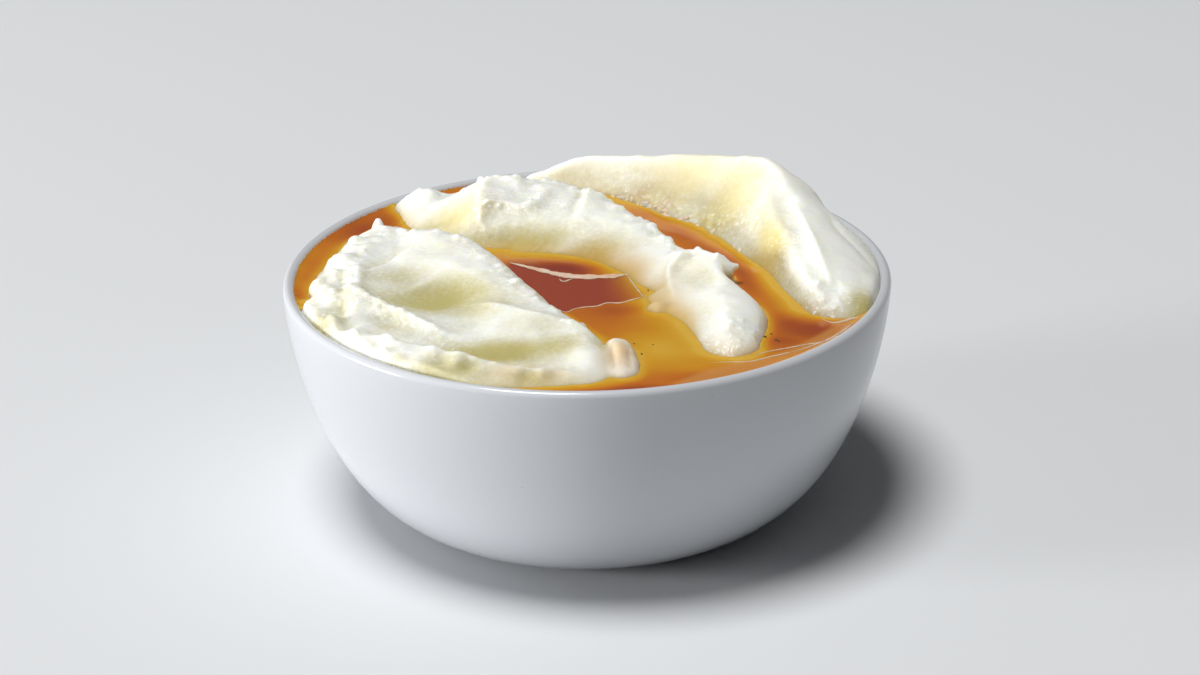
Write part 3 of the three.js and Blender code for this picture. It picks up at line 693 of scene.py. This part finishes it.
SOAKED = [(-14, 14, 10, 5, 1.0), (2, 7, 9, 6, 3.0), (7, 0, 6, 6, 5.0), (14, -20, 6, 18, 2.4),
          (15.5, -24, 4.5, 10, 3.4), (27, -38, 7, 5, 1.0), (35, -24, 4, 8, 0.9), (29, -7, 3, 3, 1.2),
          (6, 44, 9, 8, 0.6), (14, 42.5, 4, 2, 1.5),
          (36, 3, 4, 9, 1.1), (42, -21, 6, 5, 0.9), (-46, 14, 6, 16, 0.8), (-38, 33, 6, 8, 0.7),
          (6.5, -43, 5, 6, 0.5), (-12, -51, 12, 2.5, 0.7), (-28, 46, 20, 5, 0.6)]
climb = 0.22 + near(x, y, SOAKED)
above = vertices[:, 2] - GRAVY_LEVEL
soak = np.exp(-np.maximum(above, 0) / at_vertices(climb, vertices))

MASH_WHITE = "#eff0e8"
# Painted shade: the olive that hollows and slopes turned from the lamps are tinted towards.
MASH_PAINTED_SHADE = "#beb476"
MASH_STAIN = "#ecd98c"
MASH_SOAKED = "#d0a84e"
MASH_PINK = "#d8c19e"
# Painted glint colour: near-white specks that stand in for light caught by wet grains.
PAINTED_GLINTS = "#fdfdf8"

# Mashed potato: cooked cells wetted with milk and butter. Light sinks a millimetre or two into
# it and comes back soft and creamy, matt where it is smooth, glinting where the grain is torn.
mash_material, mash, shader = new_material("creamy mashed potato", 0.55, 1.4)
place = add(mash, "ShaderNodeTexCoord").outputs["Object"]
mottle = add(mash, "ShaderNodeTexNoise", {"Vector": place, "Scale": 1 / (5 * MM), "Detail": 3.0})
marks = {mark: add(mash, "ShaderNodeAttribute", attribute_name=mark).outputs["Fac"]
         for mark in ("hollow", "stain", "soak", "grain", "pink")}
uneven = add(mash, "ShaderNodeMapRange",
             {"Value": mottle.outputs["Fac"], 1: 0.3, 2: 0.7, 3: -0.04, 4: 0.04})
grains = add(mash, "ShaderNodeTexNoise", {"Vector": place, "Scale": 1 / (0.9 * MM), "Detail": 3.0,
                                          "Roughness": 0.6})
speckle = add(mash, "ShaderNodeMapRange",
              {"Value": grains.outputs["Fac"], 1: 0.35, 2: 0.65, 3: 0.04, 4: -0.04})
clouded = add(mash, "ShaderNodeMath", {0: uneven.outputs[0], 1: speckle.outputs[0]}, operation="ADD")
shaded = add(mash, "ShaderNodeMath", {0: marks["hollow"], 1: clouded.outputs[0]}, operation="ADD")
# Painted shade: the colour goes from white towards olive with the painted-shade mark and a little random
# tone.
painted_shade_share = add(mash, "ShaderNodeMapRange",
                   {"Value": shaded.outputs[0], 1: 0.1, 2: 0.75, 3: 0.0, 4: 1.0},
                   interpolation_type="SMOOTHSTEP")
tinted = add(mash, "ShaderNodeMix",
             {0: painted_shade_share.outputs[0], 6: linear(MASH_WHITE), 7: linear(MASH_PAINTED_SHADE)},
             data_type="RGBA")
for mark, tint in (("stain", MASH_STAIN), ("pink", MASH_PINK), ("soak", MASH_SOAKED)):
    tinted = add(mash, "ShaderNodeMix", {0: marks[mark], 6: tinted.outputs[2], 7: linear(tint)},
                 data_type="RGBA")
# Painted glints: near-white specks between the grains, 0.2 to 0.4 mm across, where the potato is grainy.
glint_specks = add(mash, "ShaderNodeMapRange", {"Value": grains.outputs["Fac"], 1: 0.56, 2: 0.66, 3: 0.0, 4: 1.0})
glint_share = add(mash, "ShaderNodeMath", {0: glint_specks.outputs[0], 1: marks["grain"]}, operation="MULTIPLY")
glinted = add(mash, "ShaderNodeMix",
            {0: glint_share.outputs[0], 6: tinted.outputs[2], 7: linear(PAINTED_GLINTS)}, data_type="RGBA")
mash.links.new(glinted.outputs[2], shader.inputs["Base Color"])
lit_through(shader, 1.0, (1.0, 0.85, 0.5), 2.0 * MM)
shader.inputs["Specular IOR Level"].default_value = 0.3
shader.inputs["Coat Roughness"].default_value = 0.1
# Potato cells are 0.1 to 0.2 mm across. They are drawn as grains of 0.5 mm so that they show,
# strongest along torn crests, which glint where they are wet.
wetness = add(mash, "ShaderNodeMapRange", {"Value": marks["grain"], 1: 0.1, 2: 0.8, 3: 0.04, 4: 0.5})
mash.links.new(wetness.outputs[0], shader.inputs["Coat Weight"])
grain_depth = add(mash, "ShaderNodeMapRange", {"Value": marks["grain"], 1: 0.0, 2: 1.0, 3: 0.18, 4: 1.0})
granular = add(mash, "ShaderNodeBump", {"Strength": grain_depth.outputs[0], "Distance": 0.35 * MM,
                                        "Height": grains.outputs["Fac"]})
mash.links.new(granular.outputs[0], shader.inputs["Normal"])
mash.links.new(granular.outputs[0], shader.inputs["Coat Normal"])

maps = {
    # Painted shade: olive where the potato sees little sky and in listed patches of shade, taken back in a
    # few lit patches.
    "hollow": painted_shade_map + near(x, y, PAINTED_SHADE_PATCHES) - near(x, y, SHADE_LIFTED_PATCHES),
    "stain": near(x, y, STAINS),
    "pink": near(x, y, PINKISH),
    "grain": np.maximum(near(x, y, SPARKLES), 0.6 * torn_share),
}
potato = new_piece("potato_mounds", vertices, faces, mash_material, soak=soak,
                   **{mark: at_vertices(values, vertices) for mark, values in maps.items()})
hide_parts("mashed_potato")
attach(potato, "root")


# ---------------------------------------------------------------- the gravy
# Thick brown gravy poured over the potato: it lies level in the valleys, climbs a little up
# whatever it touches, and is golden where it is thin and red-brown where it is deep.

CLIMB_MASH = 0.3  # how high the gravy climbs at the potato
CLIMB_WALL = 1.1  # and at the porcelain, nearly up to the lip
UNDER_MASH = 0.3  # the gravy's body reaches this far into the potato
THINNEST = 0.15  # and is nowhere thinner than this
NEIGHBOURS = [(axis, step) for axis in (0, 1) for step in (1, -1)]  # a lattice point's four

depth = -height
# It thins out towards the potato it laps at: 0 at the edge, 1 from about 2 mm inside it, which
# takes twelve rounds of averaging.
wet = ((depth > 0) | (radius > MOUTH_RADIUS - 0.5)).astype(float)
for _ in range(12):
    wet = (wet + sum(np.roll(wet, step, axis) for axis, step in NEIGHBOURS)) / 5
inward = np.clip(2 * wet - 1, 0, 1)
# How far the gravy's surface stands above its level: the climbs fade within a millimetre or two.
meniscus = (CLIMB_MASH * np.exp(-np.maximum(depth, 0) / 0.5)
            + CLIMB_WALL * np.exp(-np.maximum(MOUTH_RADIUS - radius, 0) / 0.7))
meniscus += 0.03 * noise(301, x / 6, y / 6)


def grow_pool(wet, seed):
    """The points of a wet map that hang together with the one nearest to a seed (x, y)."""
    pool = np.zeros(wet.shape, bool)
    pool[tuple(nearest_point(seed))] = True
    while True:
        grown = pool.copy()
        for axis, step in NEIGHBOURS:
            grown |= np.roll(pool, step, axis)
        grown &= wet
        if (grown == pool).all():
            return pool
        pool = grown


def gravy_body(name, seed):
    """One pool as a closed body: its level top and, just inside the potato, its bed."""
    pool = grow_pool((depth > -0.5) & (radius < MOUTH_RADIUS + SEAL), seed)
    for axis, step in NEIGHBOURS:
        pool |= np.roll(pool, step, axis)
    squares = pool[:-1, :-1] & pool[1:, :-1] & pool[1:, 1:] & pool[:-1, 1:]
    number = -np.ones(pool.shape, int)
    corners = np.zeros(pool.shape, bool)
    for di in (0, 1):
        for dj in (0, 1):
            corners[di:len(line) - 1 + di, dj:len(line) - 1 + dj] |= squares
    number[corners] = np.arange(corners.sum())
    top = GRAVY_LEVEL + meniscus[corners]
    over_wall = np.clip(top - LIP_START, 0, LIP)
    reach_out = BOWL_RADIUS - LIP - np.sqrt(LIP ** 2 - over_wall ** 2) + SEAL
    shrink = np.where(radius[corners] > MOUTH_RADIUS - CELL,
                      reach_out / np.maximum(radius[corners], 1e-6), 1)
    flat = np.column_stack([x[corners] * shrink, y[corners] * shrink])
    bed = np.minimum(top - THINNEST, GRAVY_LEVEL + height[corners] - UNDER_MASH)
    i, j = np.nonzero(squares)
    face = np.column_stack([number[i, j], number[i + 1, j], number[i + 1, j + 1], number[i, j + 1]])
    below = face[:, ::-1] + corners.sum()
    edges = np.vstack([face[:, [k, (k + 1) % 4]] for k in range(4)])
    paired = set(map(tuple, edges.tolist()))
    rim = np.array([edge for edge in edges.tolist() if (edge[1], edge[0]) not in paired])
    sides = np.column_stack([rim[:, 1], rim[:, 0], rim[:, 0] + corners.sum(), rim[:, 1] + corners.sum()])
    vertices = np.vstack([np.column_stack([flat, top]), np.column_stack([flat, bed])])
    at_rim = np.exp(-np.maximum(MOUTH_RADIUS - radius, 0) / 1.2)
    shown_depth = np.maximum(depth, 0) * inward * (1 - 0.4 * at_rim)
    shown_depth += np.clip(depth / 0.4, 0.1, 1) * depth_shift
    piece = new_piece(name, vertices, np.vstack([face, below, sides]).tolist(), gravy_material,
                      depth=np.tile(shown_depth[corners], 2),
                      skin=np.tile(skin_map[corners], 2),
                      film=np.tile(film_map[corners], 2))
    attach(piece, "root")
    return piece


def inside_outline(x, y, outline):
    """How far inside a closed outline of (x, y) points lie, below zero outside."""
    outline = np.array(outline, float)
    inside = np.zeros(x.shape, bool)
    distance = np.full(x.shape, np.inf)
    for (ax, ay), (bx, by) in zip(outline, np.roll(outline, -1, 0)):
        crosses = ((ay > y) != (by > y)) & (x < (bx - ax) * (y - ay) / (by - ay + 1e-9) + ax)
        inside ^= crosses
        t = np.clip(((x - ax) * (bx - ax) + (y - ay) * (by - ay))
                    / ((bx - ax) ** 2 + (by - ay) ** 2), 0, 1)
        distance = np.minimum(distance, np.hypot(x - ax - t * (bx - ax), y - ay - t * (by - ay)))
    return np.where(inside, distance, -distance)


# Skin on the cooling gravy: a dark red sheet in the middle pool, a thin tan one along the right
# rim. Each is a closed outline of (x, y).
MIDDLE_SKIN = [(-15.4, 8.1), (-12.8, 6.4), (-9.4, 4.0), (-5.2, 1.2), (-1.4, -0.1), (2.6, -0.2),
               (7.9, 0.1), (8.8, -3.7), (10.3, -9.0), (11.2, -12.1), (8.6, -12.6), (6.3, -13.9),
               (3.8, -13.8), (1.8, -15.3), (-0.5, -15.7), (-2.6, -16.6), (-4.2, -18.1), (-8, -20),
               (-16, -6)]
RIM_SKIN = [(15, -53), (22, -46.5), (27, -44), (33.3, -41.4), (38.2, -37.2), (42.6, -32.2),
            (46.4, -27.4), (47.5, -23.5), (56, -19), (54, -34), (40, -46), (27, -53)]
skin_map = np.clip(inside_outline(x, y, MIDDLE_SKIN) / 0.8 + 0.5, 0, 1) * np.clip((12 - x) / 9, 0.25, 1)
film_map = 0.65 * np.clip(inside_outline(x, y, RIM_SKIN) / 1.4 + 0.5, 0, 1)

# The gravy's colour by its depth in millimetres.
GRAVY_DEPTHS = [(0.0, "#d8ac46"), (0.35, "#d5a438"), (0.8, "#d29c30"), (1.7, "#cd9029"),
                (2.7, "#c67a29"), (3.5, "#bd6b29"), (5.0, "#a3502b"), (6.5, "#8f4233")]
GRAVY_SKIN = "#9b4a38"
GRAVY_FILM = "#ca9050"

# Where the gravy settled darker or ran out thin: (x, y, half length along x, along y, millimetres
# of depth that it looks deeper or shallower by), and the same along two lines in the right valley.
BROWNER = [(-46, 28, 14, 14, 2.4), (-55, 4, 3, 14, 0.9), (-56, -9, 3, 7, 1.8), (-8, 5.0, 13, 3.4, 2.8),
           (-15, 48, 20, 5, 1.5), (14, 37, 7, 5, 1.6), (43, -28, 8, 5, 3.4), (36, -33, 6, 4, 1.6),
           (6, -17, 6, 4, 2.6), (8, -56, 16, 3, 2.8), (26, -50, 14, 3, 1.6)]
BROWN_LINE = [(14, 33, 1.2), (19, 25, 1.6), (23.5, 16, 1.5), (27.6, 9, 2.4), (30.4, 2, 3.0),
              (32.4, -8, 2.3), (34.8, -15, 1.1), (38, -24, 1.4)]
GOLDENER = [(13, -36, 8, 9, 1.2), (40.5, -18, 3, 4, 0.8), (20, -45, 9, 3, 0.6), (30, -40, 5, 4, 0.8)]
GOLDEN_LINE = [(30, 21, 0.6), (33.5, 12, 1.2), (35.8, 5, 1.9), (38, -3, 2.3), (39.6, -10, 2.2),
               (41.5, -17, 1.3)]


def along(x, y, stations, reach):
    """How strongly points lie along a soft line of stations (x, y, strength)."""
    distance, _, _, (strength,) = beside(x, y, stations)
    return strength * np.exp(-(distance / reach) ** 2)


depth_shift = (near(x, y, BROWNER) - near(x, y, GOLDENER)
               + along(x, y, BROWN_LINE, 3.0) - along(x, y, GOLDEN_LINE, 2.6))

# Brown gravy: meat stock thickened with flour, set still and glossy. It is clear for a few
# millimetres, so the eye gets gold where it is thin and red-brown where it is deep.
gravy_material, gravy, shader = new_material("glossy gravy", 0.1, 1.38)
place = add(gravy, "ShaderNodeTexCoord").outputs["Object"]
deep = add(gravy, "ShaderNodeAttribute", attribute_name="depth").outputs["Fac"]
cloud = add(gravy, "ShaderNodeTexNoise", {"Vector": place, "Scale": 1 / (7 * MM), "Detail": 2.0})
drift = add(gravy, "ShaderNodeMapRange",
            {"Value": cloud.outputs["Fac"], 1: 0.3, 2: 0.7, 3: -0.2, 4: 0.2})
looked = add(gravy, "ShaderNodeMath", {0: deep, 1: drift.outputs[0]}, operation="ADD")
deepest = GRAVY_DEPTHS[-1][0]
share = add(gravy, "ShaderNodeMath", {0: looked.outputs[0], 1: deepest}, operation="DIVIDE")
ramp = add(gravy, "ShaderNodeValToRGB", {"Fac": share.outputs[0]})
stops = ramp.color_ramp.elements
for stop, (at_depth, colour) in enumerate(GRAVY_DEPTHS):
    element = stops[stop] if stop < 2 else stops.new(1.0)
    element.position = at_depth / deepest
    element.color = linear(colour)
skinned = ramp.outputs[0]
for mark, tint in (("skin", GRAVY_SKIN), ("film", GRAVY_FILM)):
    marked = add(gravy, "ShaderNodeAttribute", attribute_name=mark).outputs["Fac"]
    skinned = add(gravy, "ShaderNodeMix", {0: marked, 6: skinned, 7: linear(tint)},
                  data_type="RGBA").outputs[2]
gravy.links.new(skinned, shader.inputs["Base Color"])
shader.inputs["Specular IOR Level"].default_value = 0.22
lit_through(shader, 0.3, (1.0, 0.4, 0.1), 1.0 * MM)

main_gravy = gravy_body("gravy_pools", (14, -38))
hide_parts("gravy_main")
left_gravy = gravy_body("gravy_left", (-50, 18))
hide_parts("gravy_left_pool")


# ---------------------------------------------------------------- folds in the gravy's skin
# Gravy that cools grows a skin of starch and fat, which wrinkles where it is pushed: flat pale
# folds, one of them wide and seven about half a millimetre, that lie part sunk in the gravy.

FOLD_PALE = "#efd2bd"
FOLD_TAN = "#c98a54"
FOLD_LIFT = 0.03  # a fold's middle lies this share of its width above the gravy, so it is part sunk
# Each fold: its width, and the points (x, y) it runs through.
FOLDS = [
    (2.4, MIDDLE_SKIN[:7]),  # along the red skin's far edge
    (0.35, [(7.9, 0.1), (8.8, -3.7), (10.3, -9.0), (11.2, -12.1)]),
    (0.5, [(-5.7, -16.6), (-4.2, -18.1), (-2.6, -16.6), (-0.5, -15.7), (1.8, -15.3), (3.8, -13.8),
            (6.3, -13.9), (8.6, -12.5), (11.2, -11.1)]),
    (0.5, [(-5.6, -0.6), (-4.6, -2.2), (-3.6, -1.4), (-2.8, -0.6)]),
    (0.5, [(30.5, -40.6), (33.3, -38.8), (36.6, -37.4), (40.4, -35.9), (43.3, -34.9), (47.6, -31.9)]),
    (0.4, [(22, -43.6), (26, -43.3), (29.6, -43.2), (33.3, -41.4), (38.2, -38.9)]),
    (0.5, [(38.2, -38.9), (42.8, -35.6), (47, -31.3), (50.2, -26.4)]),
    (0.7, [(44.6, -23.9), (46.6, -25.6), (48.6, -25.2), (50.2, -24.4), (51.4, -24.2)]),
]

# Dried gravy skin: starch and fat drawn up into a thin film, milky and satin rather than glossy.
fold_material, fold_look, shader = new_material("wrinkled gravy skin", 0.18, 1.4)
place = add(fold_look, "ShaderNodeTexCoord").outputs["Object"]
thin = add(fold_look, "ShaderNodeTexNoise", {"Vector": place, "Scale": 1 / (2.5 * MM), "Detail": 2.0})
tone = add(fold_look, "ShaderNodeMapRange",
           {"Value": thin.outputs["Fac"], 1: 0.35, 2: 0.65, 3: 0.0, 4: 0.35})
folded = add(fold_look, "ShaderNodeMix",
             {0: tone.outputs[0], 6: linear(FOLD_PALE), 7: linear(FOLD_TAN)}, data_type="RGBA")
fold_look.links.new(folded.outputs[2], shader.inputs["Base Color"])
lit_through(shader, 0.5, (1.0, 0.5, 0.25), 0.6 * MM)

wrinkling, given = new_tree("skin folds", {
    "Step": ("Float", 0.0004), "Flatness": ("Float", 0.5), "Wrinkle": ("Float", 0.002)})
path = add(wrinkling, "GeometryNodeResampleCurve", {"Curve": given["Geometry"], "Length": given["Step"]},
           mode="LENGTH")
upright = add(wrinkling, "GeometryNodeSetCurveNormal", {"Curve": path.outputs[0]}, mode="Z_UP")
spot = add(wrinkling, "GeometryNodeInputPosition")
per_wrinkle = add(wrinkling, "ShaderNodeMath", {0: 1.0, 1: given["Wrinkle"]}, operation="DIVIDE")
uneven = add(wrinkling, "ShaderNodeTexNoise", {"Vector": spot.outputs[0], "Scale": per_wrinkle.outputs[0],
                                               "Detail": 1.0})
thickness = add(wrinkling, "ShaderNodeMapRange",
                {"Value": uneven.outputs["Fac"], 1: 0.3, 2: 0.7, 3: 0.7, 4: 1.25})
# A fold is full width but for its ends, which taper to a point.
run = add(wrinkling, "GeometryNodeSplineParameter")
taper = add(wrinkling, "ShaderNodeFloatCurve", {1: run.outputs["Factor"]})
curve = taper.mapping.curves[0]
for at, value in ((0.0, 0.15), (0.12, 1.0), (0.88, 1.0), (1.0, 0.15)):
    if at in (0.0, 1.0):
        curve.points[int(at)].location = (at, value)
    else:
        curve.points.new(at, value)
taper.mapping.update()
width = add(wrinkling, "ShaderNodeMath", {0: thickness.outputs[0], 1: taper.outputs[0]},
            operation="MULTIPLY")
own_width = add(wrinkling, "GeometryNodeInputRadius")
wide = add(wrinkling, "ShaderNodeMath", {0: width.outputs[0], 1: own_width.outputs[0]},
           operation="MULTIPLY")
section = add(wrinkling, "GeometryNodeCurvePrimitiveCircle", {"Radius": 0.5, "Resolution": 8})
flattened = add(wrinkling, "ShaderNodeCombineXYZ", {"X": 1.0, "Y": given["Flatness"], "Z": 1.0})
oval = add(wrinkling, "GeometryNodeTransform",
           {"Geometry": section.outputs[0], "Scale": flattened.outputs[0]})
fold_mesh = add(wrinkling, "GeometryNodeCurveToMesh",
                {0: upright.outputs[0], 1: oval.outputs[0], 2: wide.outputs[0], 3: True})
end_tree(wrinkling, fold_mesh.outputs[0], fold_material)

fold_paths = bpy.data.curves.new("fold paths", "CURVE")
fold_paths.dimensions = "3D"
fold_paths.resolution_u = 8
for fold_width, points in FOLDS:
    spline = fold_paths.splines.new("BEZIER")
    spline.bezier_points.add(len(points) - 1)
    for knot, (px, py) in zip(spline.bezier_points, points):
        knot.co = (px * MM, py * MM, (GRAVY_LEVEL + FOLD_LIFT * fold_width) * MM)
        knot.handle_left_type = knot.handle_right_type = "AUTO"
        knot.radius = fold_width * MM
folds = make("gravy_skin_folds", wrinkling, fold_paths,
             {"Step": 0.35 * MM, "Flatness": 0.2, "Wrinkle": 1.6 * MM})
# The gravy climbs at the potato and the wall, and the folds climb with it.
fold_points = np.empty(len(folds.data.vertices) * 3)
folds.data.vertices.foreach_get("co", fold_points)
fold_points = fold_points.reshape(-1, 3)
fold_points[:, 2] += at_vertices(meniscus, fold_points / MM) * MM
folds.data.vertices.foreach_set("co", fold_points.ravel())
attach(folds, "root")


# ---------------------------------------------------------------- crumbs of potato
# Flat crumbs, 1 to 2 mm long, that broke from the high bank when the spoon was pulled away. They
# lie in a ragged line along its foot, half sunk in the potato, pale against the gravy.

# Where they lie: (x, y, half length along x, along y, share of the full number).
CRUMB_SPOTS = [(9, 44, 4, 3, 1.0), (13.5, 40, 4, 3, 1.0), (17, 36, 3, 3, 1.0), (21.5, 30, 3, 3, 0.8),
               (26.5, 23, 3, 3, 0.8), (31, 16, 3, 4, 0.6)]
CRUMB_LOWEST, CRUMB_LINE = 0.1, 0.7  # they lie between these heights above the gravy
CRUMB_PALE = "#f3e3cc"
CRUMB_TAN = "#ecd2ae"
CRUMB_SHAPE = (1.5, 1.0, 0.5)  # length, width and thickness, as shares of a ball's

# The same mashed potato in crumbs, moist with gravy: cream to tan, lit through by the light.
crumb_material, crumb_look, shader = new_material("moist potato crumbs", 0.4, 1.4)
place = add(crumb_look, "ShaderNodeTexCoord").outputs["Object"]
moist = add(crumb_look, "ShaderNodeTexNoise", {"Vector": place, "Scale": 1 / (2 * MM), "Detail": 1.0})
share = add(crumb_look, "ShaderNodeMapRange",
            {"Value": moist.outputs["Fac"], 1: 0.35, 2: 0.65, 3: 0.0, 4: 1.0})
tone = add(crumb_look, "ShaderNodeMix",
           {0: share.outputs[0], 6: linear(CRUMB_PALE), 7: linear(CRUMB_TAN)}, data_type="RGBA")
crumb_look.links.new(tone.outputs[2], shader.inputs["Base Color"])
lit_through(shader, 1.0, (1.0, 0.75, 0.4), 0.3 * MM)

scattering, given = new_tree("scattered crumbs", {
    "Density": ("Float", 1e6), "Smallest": ("Float", 0.0003), "Largest": ("Float", 0.0007),
    "Raggedness": ("Float", 0.0002), "Seed": ("Int", 1)})
mark = add(scattering, "GeometryNodeInputNamedAttribute", {"Name": "crumbly"}, data_type="FLOAT")
thick = add(scattering, "ShaderNodeMath", {0: mark.outputs[0], 1: given["Density"]}, operation="MULTIPLY")
spots = add(scattering, "GeometryNodeDistributePointsOnFaces",
            {"Mesh": given["Geometry"], "Density": thick.outputs[0], "Seed": given["Seed"]})
size = add(scattering, "FunctionNodeRandomValue",
           {2: given["Smallest"], 3: given["Largest"], "Seed": given["Seed"]}, data_type="FLOAT")
turn = add(scattering, "FunctionNodeRandomValue",
           {0: (-0.2, -0.2, 0.0), 1: (0.2, 0.2, 6.28), "Seed": given["Seed"]}, data_type="FLOAT_VECTOR")
lying = add(scattering, "FunctionNodeRotateRotation",
            {"Rotation": spots.outputs["Rotation"], "Rotate By": turn.outputs[0]},
            rotation_space="LOCAL")
ball = add(scattering, "GeometryNodeMeshIcoSphere", {"Radius": 1.0, "Subdivisions": 2})
long_ball = add(scattering, "GeometryNodeTransform",
                {"Geometry": ball.outputs[0], "Scale": CRUMB_SHAPE, "Translation": (0.0, 0.0, -0.12)})
strewn = add(scattering, "GeometryNodeInstanceOnPoints",
             {"Points": spots.outputs[0], "Instance": long_ball.outputs[0], "Rotation": lying.outputs[0],
              "Scale": size.outputs[1]})
loose = add(scattering, "GeometryNodeRealizeInstances", {"Geometry": strewn.outputs[0]})
spot = add(scattering, "GeometryNodeInputPosition")
dents = add(scattering, "ShaderNodeTexNoise",
            {"Vector": spot.outputs[0], "Scale": 1 / (0.4 * MM), "Detail": 1.0})
about_zero = add(scattering, "ShaderNodeVectorMath", {0: dents.outputs["Color"], 1: (0.5, 0.5, 0.5)},
                 operation="SUBTRACT")
dented = add(scattering, "ShaderNodeVectorMath", {0: about_zero.outputs[0], 3: given["Raggedness"]},
             operation="SCALE")
ragged = add(scattering, "GeometryNodeSetPosition",
             {"Geometry": loose.outputs[0], "Offset": dented.outputs[0]})
end_tree(scattering, ragged.outputs[0], crumb_material)

ground = potato.data.copy()
at_foot = (above > CRUMB_LOWEST) & (above < CRUMB_LINE)
ground.attributes.new("crumbly", "FLOAT", "POINT").data.foreach_set(
    "value", np.where(at_foot, at_vertices(near(x, y, CRUMB_SPOTS), vertices), 0).astype(np.float32))
crumbs = make("potato_crumbs", scattering, ground,
              {"Density": 1.8e6, "Smallest": 0.3 * MM, "Largest": 0.7 * MM,
               "Raggedness": 0.1 * MM, "Seed": 5})
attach(crumbs, "root")


# ---------------------------------------------------------------- specks of pepper
# A few flakes of coarsely ground black pepper, 0.4 to 0.8 mm long, cracked in a mill and strewn
# by hand. They float on the gravy and lie on its edge.

FLAKE_LIFT = 0.05  # a flake's middle lies this far above what it rests on
PEPPER_DARK = "#2b1a10"
PEPPER_PALE = "#6b4a2c"
PEPPER_SPOTS = [(35.2, -33.4), (35.7, -33.9), (34.5, -30.5), (33.2, -32.3), (11.9, -8.4), (12.1, -34.8),
                (8.6, -34.2), (9.9, -39.0), (22.8, 10.2), (-46.5, 24.0)]

# Ground black pepper: cracked dry husk, dull and dark brown with paler broken faces.
pepper_material, pepper, shader = new_material("ground black pepper", 0.6, 1.5)
place = add(pepper, "ShaderNodeTexCoord").outputs["Object"]
husk = add(pepper, "ShaderNodeTexNoise", {"Vector": place, "Scale": 1 / (0.2 * MM), "Detail": 2.0})
husk_tone = add(pepper, "ShaderNodeMix",
                {0: husk.outputs["Fac"], 6: linear(PEPPER_DARK), 7: linear(PEPPER_PALE)},
                data_type="RGBA")
pepper.links.new(husk_tone.outputs[2], shader.inputs["Base Color"])

grinding, given = new_tree("pepper flakes", {"Size": ("Float", 0.0003), "Seed": ("Int", 1)})
smallest = add(grinding, "ShaderNodeMath", {0: given["Size"], 1: 0.5}, operation="MULTIPLY")
size = add(grinding, "FunctionNodeRandomValue",
           {2: smallest.outputs[0], 3: given["Size"], "Seed": given["Seed"]}, data_type="FLOAT")
turn = add(grinding, "FunctionNodeRandomValue",
           {0: (-0.4, -0.4, 0.0), 1: (0.4, 0.4, 6.28), "Seed": given["Seed"]}, data_type="FLOAT_VECTOR")
flake = add(grinding, "GeometryNodeMeshIcoSphere", {"Radius": 1.0, "Subdivisions": 1})
thin_flake = add(grinding, "GeometryNodeTransform",
                 {"Geometry": flake.outputs[0], "Scale": (1.0, 0.5, 0.35)})
flakes = add(grinding, "GeometryNodeInstanceOnPoints",
             {"Points": given["Geometry"], "Instance": thin_flake.outputs[0], "Rotation": turn.outputs[0],
              "Scale": size.outputs[1]})
end_tree(grinding, flakes.outputs[0], pepper_material)

spot_mesh = bpy.data.meshes.new("pepper spots")
afloat = np.array([(px, py, 0) for px, py in PEPPER_SPOTS])
afloat[:, 2] = GRAVY_LEVEL + at_vertices(np.maximum(meniscus, height), afloat) + FLAKE_LIFT
spot_mesh.from_pydata((afloat * MM).tolist(), [], [])
pepper_flakes = make("pepper_flakes", grinding, spot_mesh, {"Size": 0.42 * MM, "Seed": 3})
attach(pepper_flakes, "root")


# ---------------------------------------------------------------- floor, light and camera
# Plain pale grey paper under a large soft lamp overhead and a second, low on the left, with the
# camera low in front, looking down at 23 degrees. Places and sizes here are in metres.

floor_mesh = bpy.data.meshes.new("floor")
floor_mesh.from_pydata([(-6, -6, 0), (6, -6, 0), (6, 14, 0), (-6, 14, 0)], [], [(0, 1, 2, 3)])
floor = in_scene("floor", floor_mesh)
# Uncoated paper: pressed wood fibre, so the eye gets an even grey without gloss. White paper
# would throw so much light back up that the porcelain lost its shaded side.
floor_material, _, shader = new_material("pale grey paper", 0.9, 1.4)
shader.inputs["Base Color"].default_value = linear("#d8dadc")
floor_mesh.materials.append(floor_material)


def add_lamp(name, place, size, power, aim=(0, 0, 0.04)):
    """A round lamp of some size and power in watts, turned towards a point."""
    lamp = bpy.data.lights.new(name, "AREA")
    lamp.shape = "DISK"
    lamp.size = size
    lamp.energy = power
    direction = Vector(aim) - Vector(place)
    in_scene(name, lamp).matrix_world = (
        Matrix.Translation(place) @ direction.to_track_quat("-Z", "Y").to_matrix().to_4x4())


add_lamp("soft lamp overhead", (-0.65, -0.45, 3.4), 1.4, 108.5, (0, 0.15, 0))
add_lamp("soft lamp left", (-1.4, -0.25, 0.15), 0.4, 21.0)

surround = bpy.data.worlds.new("studio")
surround.use_nodes = True
backdrop = surround.node_tree.nodes["Background"].inputs
backdrop["Color"].default_value = linear("#ffffff")
backdrop["Strength"].default_value = 0.05
bpy.context.scene.world = surround
bpy.context.scene.view_settings.view_transform = "Standard"

CAMERA_PLACE = (0, -0.52163, 0.25527)
LOOKING_DOWN = math.radians(23.044)
TURNED_RIGHT = math.radians(0.262)
ROLLED = math.radians(-0.8)
camera_data = bpy.data.cameras.new("camera")
camera_data.lens = 85
camera_data.sensor_width = 36
camera_data.clip_start = 0.01
camera = in_scene("camera", camera_data)
camera.matrix_world = (Matrix.Translation(CAMERA_PLACE)
                       @ Matrix.Rotation(-TURNED_RIGHT, 4, "Z")
                       @ Matrix.Rotation(math.pi / 2 - LOOKING_DOWN, 4, "X")
                       @ Matrix.Rotation(ROLLED, 4, "Z"))
bpy.context.scene.camera = camera
